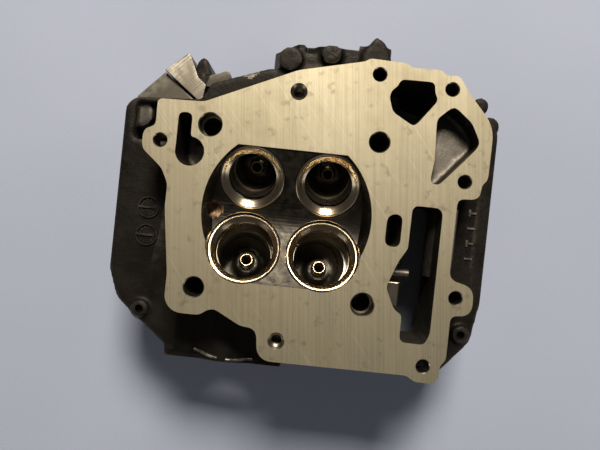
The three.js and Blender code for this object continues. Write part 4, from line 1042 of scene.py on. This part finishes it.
# ---------------------------------------------------------------- clips, spring seats and seals
# Under each spring the guide carries a snap ring, a pressed steel washer and a rubber stem seal
# on the guide's end; the small garter spring that holds the seal is not modelled.
dark_spring, tree, shader, place = new_finish("blued_spring_steel", 1.0, 0.35)
cloud = noise(tree, place, 180.0, 5.0)
tint(tree, shader, span(tree, cloud, 0.35, 0.65), (0.20, 0.19, 0.18), (0.10, 0.095, 0.10))
dull(tree, shader, cloud, 0.3, 0.7, 0.26, 0.45)
bump(tree, shader, cloud, 0.0001, 0.3)
rubber, tree, shader, place = new_finish("green_rubber", 0.0, 0.7)
grain = noise(tree, place, 900.0, 3.0)
tint(tree, shader, span(tree, grain, 0.3, 0.7), (0.03, 0.085, 0.05), (0.045, 0.11, 0.07))
dull(tree, shader, grain, 0.3, 0.7, 0.6, 0.8)
bump(tree, shader, grain, 0.0002, 0.5)
for valve in VALVES:
    low = -valve.pocket
    wire_r = 0.6
    section = [(GUIDE_RADIUS + 1.2 + 0.75 * math.cos(math.tau * k / 12), 0,
                low - 0.95 + wire_r * math.sin(math.tau * k / 12))
               for k in range(12)]
    clip = ring_of(f"{valve.name}_clip", section)
    edit(clip, lambda: bpy.ops.mesh.spin(steps=60, angle=math.radians(322), center=(0, 0, 0),
                                         axis=(0, 0, 1)),
         lambda: bpy.ops.mesh.select_all(action="DESELECT"),
         bpy.ops.mesh.select_non_manifold, bpy.ops.mesh.edge_face_add, face_out)
    wear(on_stem(clip, valve), dark_spring)
    settle(smooth(clip, 50), "head", "spring_steel", f"{valve.name}_guide_circlip")

    hub, rim_r = GUIDE_RADIUS + 2.8, 13
    washer = turned(f"{valve.name}_spring_washer", [
        (hub, low - 0.3), (rim_r - 0.3, low - 0.3), (rim_r, low - 0.6), (rim_r, low - 1.3),
        (rim_r - 0.3, low - 1.6),
        (hub + 2.6, low - 1.6), (hub + 1.7, low - 2.0), (hub + 1.4, low - 3.0),
        (hub + 1.0, low - 3.2),
        (hub + 0.3, low - 3.2), (hub, low - 2.9)], 72)
    wear(on_stem(washer, valve), dark_spring)
    settle(smooth(washer), "head", "spring_steel", f"{valve.name}_spring_seat")

    end = low - GUIDE_STAND
    skirt = GUIDE_RADIUS + 0.3
    seal = turned(f"{valve.name}_seal", [
        (skirt, end - 0.3), (skirt, end + 9), (skirt + 1.3, end + 9), (skirt + 1.7, end + 8.5),
        (skirt + 1.7, end + 7.6),
        (skirt + 1.35, end + 7.2), (skirt + 1.35, end + 1.2), (skirt + 1.7, end + 0.7),
        (skirt + 1.7, end - 0.6),
        (skirt + 1.2, end - 1.1), (skirt + 0.3, end - 1.4), (skirt - 0.2, end - 1.9),
        (skirt - 0.2, end - 2.5),
        (skirt - 0.6, end - 3.0), (GUIDE_BORE + 0.2, end - 3.0), (GUIDE_BORE + 0.15, end - 0.3)],
        48)
    wear(on_stem(seal, valve), rubber)
    settle(smooth(seal), "head", "stem_seal", f"{valve.name}_stem_seal")

# ---------------------------------------------------------------- camshaft bearing caps
# Two die-cast aluminium caps, line-bored with the head, so each only fits its own place. Each
# stands on two hollow dowels and is held by two flanged bolts.
ACROSS_X = (0, math.pi / 2, 0)
DOWNWARD = (math.pi, 0, 0)


def slab(name, corners, x0, x1):
    """A plate square to the camshaft, from an outline of (y, height above the axis, radius)."""
    made = ring_of(name, [(x0, p.x, p.y - CAM_DEPTH) for p in rounded(corners, 0.6)])
    return pulled(made, (x1 - x0, 0, 0))


cap_cast, tree, shader, place = new_finish("cap_aluminium", 0.9, 0.45)
skin = use_group(tree, sand_skin, Grain=1300.0)
tone = mix(tree, skin["Patches"], (0.30, 0.29, 0.27, 1), (0.46, 0.445, 0.41, 1))
wire(tree, mix(tree, use_group(tree, rubbed, Reach=0.7)["Mask"], tone, (0.7, 0.68, 0.62, 1)),
     shader, "Base Color")
dull(tree, shader, skin["Grit"], 0.0, 1.0, 0.36, 0.52)
bump(tree, shader, skin["Height"], 0.0003, 0.6)
for side, x in BEARINGS.items():
    half = BEARING_WIDTH / 2
    cap = slab(f"bearing_cap_{side}", [(-25, 1, 0.5), (25, 1, 0.5), (25, -8.7, 2.5), (14, -19, 6),
                                       (-14, -19, 6),
                                      (-25, -8.7, 2.5)], x - half, x + half)
    soften(wear(cap, cap_cast), 0.9, 3)
    rib = slab("rib", [(-9, -15, 2), (9, -15, 2), (5, -19.4, 2), (-5, -19.4, 2)], x - 2.2, x + 2.2)
    join(cap, wear(rib, cap_cast))
    face = wear(block("joint_face", (x - 12, x + 12), (-30, 30), CAM_DEPTH - 8, CAM_DEPTH + FIT),
                milled)
    join(face, wear(cam_bar("journal_bore", x - 12, x + 12, JOURNAL + FIT, sides=96), bored))
    for y in (-CAP_BOLT_Y, CAP_BOLT_Y):
        join(face, wear(post("dowel_bore", x, y, CAM_DEPTH - 2, CAM_DEPTH + 4.3, 4.8), bored),
             wear(post("bolt_hole", x, y, CAM_DEPTH, CAM_DEPTH + 30, 3.3), bored),
             wear(post("bolt_seat", x, y, CAM_DEPTH + 10, CAM_DEPTH + 30, 6.6), bored))
    cut(cap, face)
    settle(smooth(cap), "head", "bearing_cap", f"camshaft_cap_{side}")

# ---------------------------------------------------------------- cap bolts and dowels
# Flanged hexagon bolts in zinc-plated steel, threads down into the pedestals, and the split
# hollow dowels round them that place each cap.


def zinc_steel(name, first, second, rough=0.3):
    """Plated steel in two close tones, cloudy and slightly worn at its edges."""
    material, tree, shader, place = new_finish(name, 1.0, rough)
    cloud = noise(tree, place, 150.0, 5.0, 0.6)
    fine = noise(tree, place, 1600.0, 2.0)
    tone = mix(tree, span(tree, cloud, 0.35, 0.65), (*first, 1), (*second, 1))
    tone = mix(tree, use_group(tree, rubbed, Reach=0.6)["Mask"], tone, (0.8, 0.78, 0.73, 1))
    wire(tree, tone, shader, "Base Color")
    dull(tree, shader, cloud, 0.3, 0.7, rough - 0.08, rough + 0.12)
    bump(tree, shader, fine, 0.00004, 0.5)
    return material


plated = zinc_steel("zinc_plated_steel", (0.62, 0.62, 0.60), (0.45, 0.44, 0.41))
plain = zinc_steel("plain_steel", (0.50, 0.48, 0.45), (0.36, 0.34, 0.31))


def hexagon(name, across, low, high):
    """A hexagon head with its top corners turned off."""
    bpy.ops.object.select_all(action="DESELECT")
    bpy.ops.mesh.primitive_cylinder_add(
        vertices=6, radius=across / math.sqrt(3), depth=high - low,
        location=(0, 0, (low + high) / 2))
    made = bpy.context.object
    made.name = name
    bpy.ops.object.transform_apply()
    height = high - low
    crown = bar("crown", (0, 0, low - 0.1), (0, 0, high), across * 0.5 + height * 1.1,
                across * 0.48, sides=64)
    return combine(made, [crown], "INTERSECT")


def flanged_bolt(name, radius, reach, flange_radius, flange, across, top, pitch=1.0):
    """A bolt made upright: thread below zero, flange on it, hexagon above with a dished top."""
    grooves = [(0, -reach), (radius - 0.9, -reach), (radius - 0.25, 0.8 - reach)]
    for k in range(1, int((reach - 2) / pitch)):
        grooves += [(radius - 0.35, pitch * (k - 0.3) - reach), (radius, pitch * k - reach)]
    grooves += [(radius - 0.35, -1.6), (radius - 0.3, 0.3), (0, 0.3)]
    made = turned(name, grooves, 32)
    collar = turned("flange", [(0, 0), (flange_radius - 0.25, 0), (flange_radius, 0.2),
                               (flange_radius, flange * 0.6),
                               (across * 0.52, flange + 0.3), (0, flange + 0.3)], 48)
    head = hexagon("hexagon", across, flange * 0.5, top)
    cut(head, bar("dish", (0, 0, top - 0.5), (0, 0, top + 0.2), across * 0.2, across * 0.34,
                  sides=32))
    return join(made, collar, head)


for side, x in BEARINGS.items():
    for hand, y in (("intake", -CAP_BOLT_Y), ("exhaust", CAP_BOLT_Y)):
        bolt = wear(flanged_bolt(f"cap_bolt_{side}_{hand}_screw", 3, 20.3, 6, 1.6, 8, 6), plated)
        put(bolt, (x, y, -CAM_DEPTH - 10.3), DOWNWARD)
        settle(smooth(bolt), "head", "fastener", f"cap_bolt_{side}_{hand}")
        dowel = turned(f"cap_dowel_{side}_{hand}_sleeve", [
            (3.3, -4), (4.2, -4), (4.5, -3.6), (4.5, 3.6), (4.2, 4), (3.3, 4)], 48)
        settle(smooth(put(wear(dowel, plain), (x, y, -CAM_DEPTH))), "head", "plain_steel",
               f"cap_dowel_{side}_{hand}")

# ---------------------------------------------------------------- camshaft
# One chilled-iron shaft with two ground journals and four ground cams; the body between is left
# dark as cast. It runs straight in the aluminium and is drilled from one end for oil.
BASE_CIRCLE = 13
NOSE_CIRCLE = 5
LIFT_CENTRE = 14
iron, tree, shader, place = new_finish("cast_iron", 0.9, 0.5)
skin = use_group(tree, sand_skin, Grain=1400.0)
tint(tree, shader, skin["Patches"], (0.12, 0.11, 0.10), (0.22, 0.205, 0.19))
dull(tree, shader, skin["Grit"], 0.0, 1.0, 0.4, 0.6)
bump(tree, shader, skin["Height"], 0.0004, 0.6)
ground, tree, shader, place = new_finish("ground_iron", 1.0, 0.2)
lines = node(tree, "TexWave", {"bands_direction": "X"}, Vector=place, Scale=1500.0, Distortion=1.5,
             Detail=2.0)
polish = noise(tree, place, 90.0, 4.0)
tint(tree, shader, span(tree, polish, 0.35, 0.65), (0.66, 0.64, 0.61), (0.48, 0.46, 0.43))
dull(tree, shader, polish, 0.3, 0.7, 0.12, 0.26)
bump(tree, shader, lines.outputs["Fac"], 0.00002, 0.5)

shaft = turned("shaft", [(0, -36), (3.5, -37.5), (3.5, -55.6), (3.9, -56), (9, -56), (9, 37.9),
                         (7.5, 38.1),
                         (7.5, 41.1), (9, 41.3), (9, 60), (9.6, 61), (15.5, 61), (16, 61.5),
                         (16, 69.7), (15.5, 70.2),
                         (6.7, 70.2), (6.7, 73), (6.2, 73.5), (0, 73.5)], 96)
put(wear(shaft, iron), (0, 0, -CAM_DEPTH), ACROSS_X)
for x0, x1 in ((-56, -35), (41.3, 58)):
    sleeve = turned("journal", [(8, x0), (10.6, x0), (JOURNAL, x0 + 0.4), (JOURNAL, x1 - 0.4),
                                (10.6, x1), (8, x1)], 96)
    join(shaft, put(wear(sleeve, ground), (0, 0, -CAM_DEPTH), ACROSS_X))
for x, toward in ((-21.5, -30), (21.5, -30), (-7.5, -140), (7.5, -140)):
    opening = math.acos((BASE_CIRCLE - NOSE_CIRCLE) / LIFT_CENTRE)
    outline = []
    for k in range(49):
        angle = opening + (math.tau - 2 * opening) * k / 48
        outline.append((BASE_CIRCLE * math.cos(angle), BASE_CIRCLE * math.sin(angle)))
    for k in range(17):
        angle = -opening + 2 * opening * k / 16
        outline.append((LIFT_CENTRE + NOSE_CIRCLE * math.cos(angle), NOSE_CIRCLE * math.sin(angle)))
    turn = Matrix.Rotation(math.radians(toward), 2)
    flat = [turn @ Vector(point) for point in outline]
    lobe = ring_of("lobe", [(x - 4.5, p.x, p.y - CAM_DEPTH) for p in flat])
    pulled(lobe, (9, 0, 0))
    soften(wear(lobe, ground), 0.4)
    join(shaft, lobe)
for y in (-11, 11):
    cut(shaft, wear(bar("bolt_hole", (58.5, y, -CAM_DEPTH), (71, y, -CAM_DEPTH), 2.8, sides=32),
                    ground))
shaft.name = "cam_shaft"
settle(smooth(shaft), "cam", "camshaft", "camshaft")

# ---------------------------------------------------------------- timing sprocket and its bolts
# A hardened steel sprocket with 26 teeth for the cam chain. It centres on the end of the
# camshaft and two flanged bolts hold it against the camshaft's flange.
TEETH = 26
PITCH_RADIUS = 26.34
ROLLER = 2.14
hard_steel = zinc_steel("hardened_steel", (0.20, 0.185, 0.17), (0.11, 0.105, 0.105), 0.36)
ring = []
for tooth in range(TEETH):
    angle = math.tau * tooth / TEETH
    centre = Vector((math.cos(angle), math.sin(angle))) * PITCH_RADIUS
    for k in range(9):
        swing = angle + math.pi + math.radians(76 - 19 * k)
        ring.append(centre + Vector((math.cos(swing), math.sin(swing))) * ROLLER)
    for part in (0.43, 0.57):
        at = angle + math.tau * part / TEETH
        ring.append(Vector((math.cos(at), math.sin(at))) * (PITCH_RADIUS + 1.86))
sprocket = ring_of("sprocket", [(70.5, p.x, p.y - CAM_DEPTH) for p in ring])
pulled(sprocket, (3, 0, 0))
soften(wear(sprocket, hard_steel), 0.3, degrees=60)
openings = bar("centre", (69, 0, -CAM_DEPTH), (75, 0, -CAM_DEPTH), 7, sides=72)
for y in (-11, 11):
    join(openings, bar("bolt_hole", (69, y, -CAM_DEPTH), (75, y, -CAM_DEPTH), 2.8, sides=32))
for rise in (-17.1, 17.1):
    join(openings, bar("window", (69, 0, rise - CAM_DEPTH), (75, 0, rise - CAM_DEPTH), 4, sides=40))
cut(sprocket, wear(openings, hard_steel))
sprocket.name = "timing_sprocket"
settle(smooth(sprocket), "cam", "sprocket", "cam_sprocket")
for k, y in enumerate((-11, 11)):
    bolt = wear(flanged_bolt(f"sprocket_screw_{k + 1}", 2.5, 12, 5, 1, 8, 4, 0.8), plated)
    put(bolt, (73.8, y, -CAM_DEPTH), ACROSS_X)
    settle(smooth(bolt), "cam", "fastener", f"sprocket_bolt_{k + 1}")

# ---------------------------------------------------------------- camshaft thrust plate
# A small steel plate in the camshaft's groove takes the end thrust. A button-head screw holds
# it to the face of the right-hand pedestal.
thrust_plate = slab("thrust_plate", [(3, 6.5, 1), (25, 12, 3), (25, 0.5, 3), (3, 0.5, 1)], 38.2,
                    40.7)
soften(wear(thrust_plate, plain), 0.3)
clearance = wear(cam_bar("clearance", 36, 43, 7.8, sides=96), plain)
join(clearance, wear(bar("screw_hole", THRUST_SCREW + Vector((36, 0, 0)),
                         THRUST_SCREW + Vector((43, 0, 0)), 2.3,
                         sides=32), plain))
cut(thrust_plate, clearance)
settle(smooth(thrust_plate), "head", "plain_steel", "camshaft_thrust_plate")


def socket_screw(name, profile, across, top, deep):
    """A turned screw or plug with a hexagon socket sunk into its top."""
    made = turned(name, profile, 48)
    bpy.ops.object.select_all(action="DESELECT")
    bpy.ops.mesh.primitive_cylinder_add(
        vertices=6, radius=across / math.sqrt(3), depth=deep + 1,
        location=(0, 0, top + 0.5 - deep / 2))
    key = bpy.context.object
    bpy.ops.object.transform_apply()
    return cut(made, key)


button = socket_screw("thrust_screw", [(0, -7.3), (1.5, -7.3), (2, -6.8), (2, 0), (4, 0), (4, 0.9),
                                       (3.7, 1.8), (3.0, 2.6),
                                       (2.2, 3), (0, 3)], 2.5, 3, 1.6)
put(wear(button, plated), THRUST_SCREW + Vector((37.9, 0, 0)), (0, -math.pi / 2, 0))
settle(smooth(button), "head", "fastener", "thrust_plate_screw")

# ---------------------------------------------------------------- plugs in the intake-side wall
# Two pressed-steel core plugs close the casting's core holes, a socket plug closes the oil
# gallery, and the coolant drain has a hexagon plug on a copper washer.
TO_FRONT = (math.pi / 2, 0, 0)


def at_wall(piece, plug):
    """Stands a piece made upright, wall face at zero, at its plug hole."""
    x, depth, _ = WALL_PLUGS[plug]
    return put(piece, (x, -BOX_FRONT, -depth), TO_FRONT)


for side in ("left", "right"):
    cup = turned(f"core_cup_{side}", [(0, -4.6), (7.4, -4.6), (8, -4.0), (8, -0.9), (7.7, -0.6),
                                      (7.2, -0.6), (6.7, -1.0),
                                      (6.4, -2.2), (5.8, -2.9), (4.8, -3.1), (0, -3.1)], 72)
    at_wall(wear(cup, plated), f"core_{side}")
    settle(smooth(cup), "head", "plain_steel", f"core_plug_{side}")
gallery = socket_screw("gallery_screw", [(0, -7), (4.4, -7), (5, -6.4), (5, -1), (4.5, -0.5),
                                         (0, -0.5)], 5, -0.5, 3.5)
settle(smooth(at_wall(wear(gallery, plain), "gallery")), "head", "plain_steel", "oil_gallery_plug")

copper, tree, shader, place = new_finish("copper", 1.0, 0.35)
tarnish = noise(tree, place, 220.0, 5.0)
tint(tree, shader, span(tree, tarnish, 0.4, 0.65), (0.80, 0.42, 0.24), (0.42, 0.22, 0.13))
dull(tree, shader, tarnish, 0.3, 0.7, 0.25, 0.45)
crush = turned("drain_ring", [(4.3, 0.5), (4.6, 0.3), (7.7, 0.3), (8, 0.6), (8, 1.5), (7.7, 1.8),
                              (4.6, 1.8), (4.3, 1.5)], 64)
settle(smooth(at_wall(wear(crush, copper), "drain")), "head", "copper", "coolant_drain_washer")
drain_screw = wear(flanged_bolt("drain_screw", 4, 9.1, 7.4, 1.5, 10, 6), plated)
x, depth, _ = WALL_PLUGS["drain"]
put(drain_screw, (x, -BOX_FRONT - 2.1, -depth), TO_FRONT)
settle(smooth(drain_screw), "head", "fastener", "coolant_drain_plug")

# ---------------------------------------------------------------- cover dowels
# Two hollow steel dowels in the rim place the cover; they stop just short of the joint face.
for side, (x, y) in zip(("left", "right"), COVER_PILLARS):
    sleeve = turned(f"cover_sleeve_{side}", [(3.4, 0), (4.3, 0), (4.6, 0.4), (4.6, 6.6), (4.3, 7),
                                             (3.4, 7)], 48)
    put(wear(sleeve, plain), (x, y, 0.3 - HEIGHT))
    settle(smooth(sleeve), "head", "plain_steel", f"cover_dowel_{side}")

# ---------------------------------------------------------------- floor, light and camera
# The head lies on a pale cloth, in soft window light that comes mostly from the exhaust side.
cloth, tree, shader, place = new_finish("pale_cloth", 0.0, 0.9)
weave = noise(tree, place, 1500.0, 2.0)
# The floor's tone varies in large soft patches, lighter and darker.
floor_patches = noise(tree, place, 5.0, 2.0)
tint(tree, shader, span(tree, floor_patches, 0.3, 0.7), (0.43, 0.46, 0.56), (0.47, 0.50, 0.61))
bump(tree, shader, weave, 0.0004, 0.4)
bpy.ops.object.select_all(action="DESELECT")
bpy.ops.mesh.primitive_plane_add(size=6, location=(head_origin.x, head_origin.y,
                                                   cad_low.z - 0.0002))
floor = bpy.context.object
floor.name = "floor"
wear(floor, cloth)
floor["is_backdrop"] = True

world = bpy.data.worlds.new("room")
bpy.context.scene.world = world
world.use_nodes = True
world.node_tree.nodes["Background"].inputs["Color"].default_value = (0.92, 0.94, 1.0, 1)
world.node_tree.nodes["Background"].inputs["Strength"].default_value = 0.05
bpy.context.scene.view_settings.view_transform = "Standard"


def window(name, offset, size, power, colour):
    """A soft square light that faces the head."""
    bpy.ops.object.light_add(type="AREA", location=head_origin + Vector(offset))
    lamp = bpy.context.object
    lamp.name = name
    lamp.data.size, lamp.data.energy, lamp.data.color = size, power, colour
    lamp.rotation_euler = (-Vector(offset)).to_track_quat("-Z", "Y").to_euler()


window("window_light", (0.05, 1.34, 1.42), 0.6, 50, (1.0, 0.95, 0.86))
window("room_fill", (-0.3, -0.3, 1.5), 0.9, 0.5, (1.0, 0.97, 0.92))
for side in (-1, 1):
    window("low_fill", (side * 1.1, -0.9, 0.3), 0.6, 1.5, (0.95, 0.97, 1.0))

bpy.ops.object.camera_add(
    location=head_origin + Vector((7.5, -2.1, 283)) * MM,
    rotation=(math.radians(-0.54), 0, math.radians(6.03)))
camera = bpy.context.object
camera.data.sensor_width = 36
camera.data.lens = 31.8
camera.data.clip_start = 0.01
bpy.context.scene.camera = camera

low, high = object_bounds()
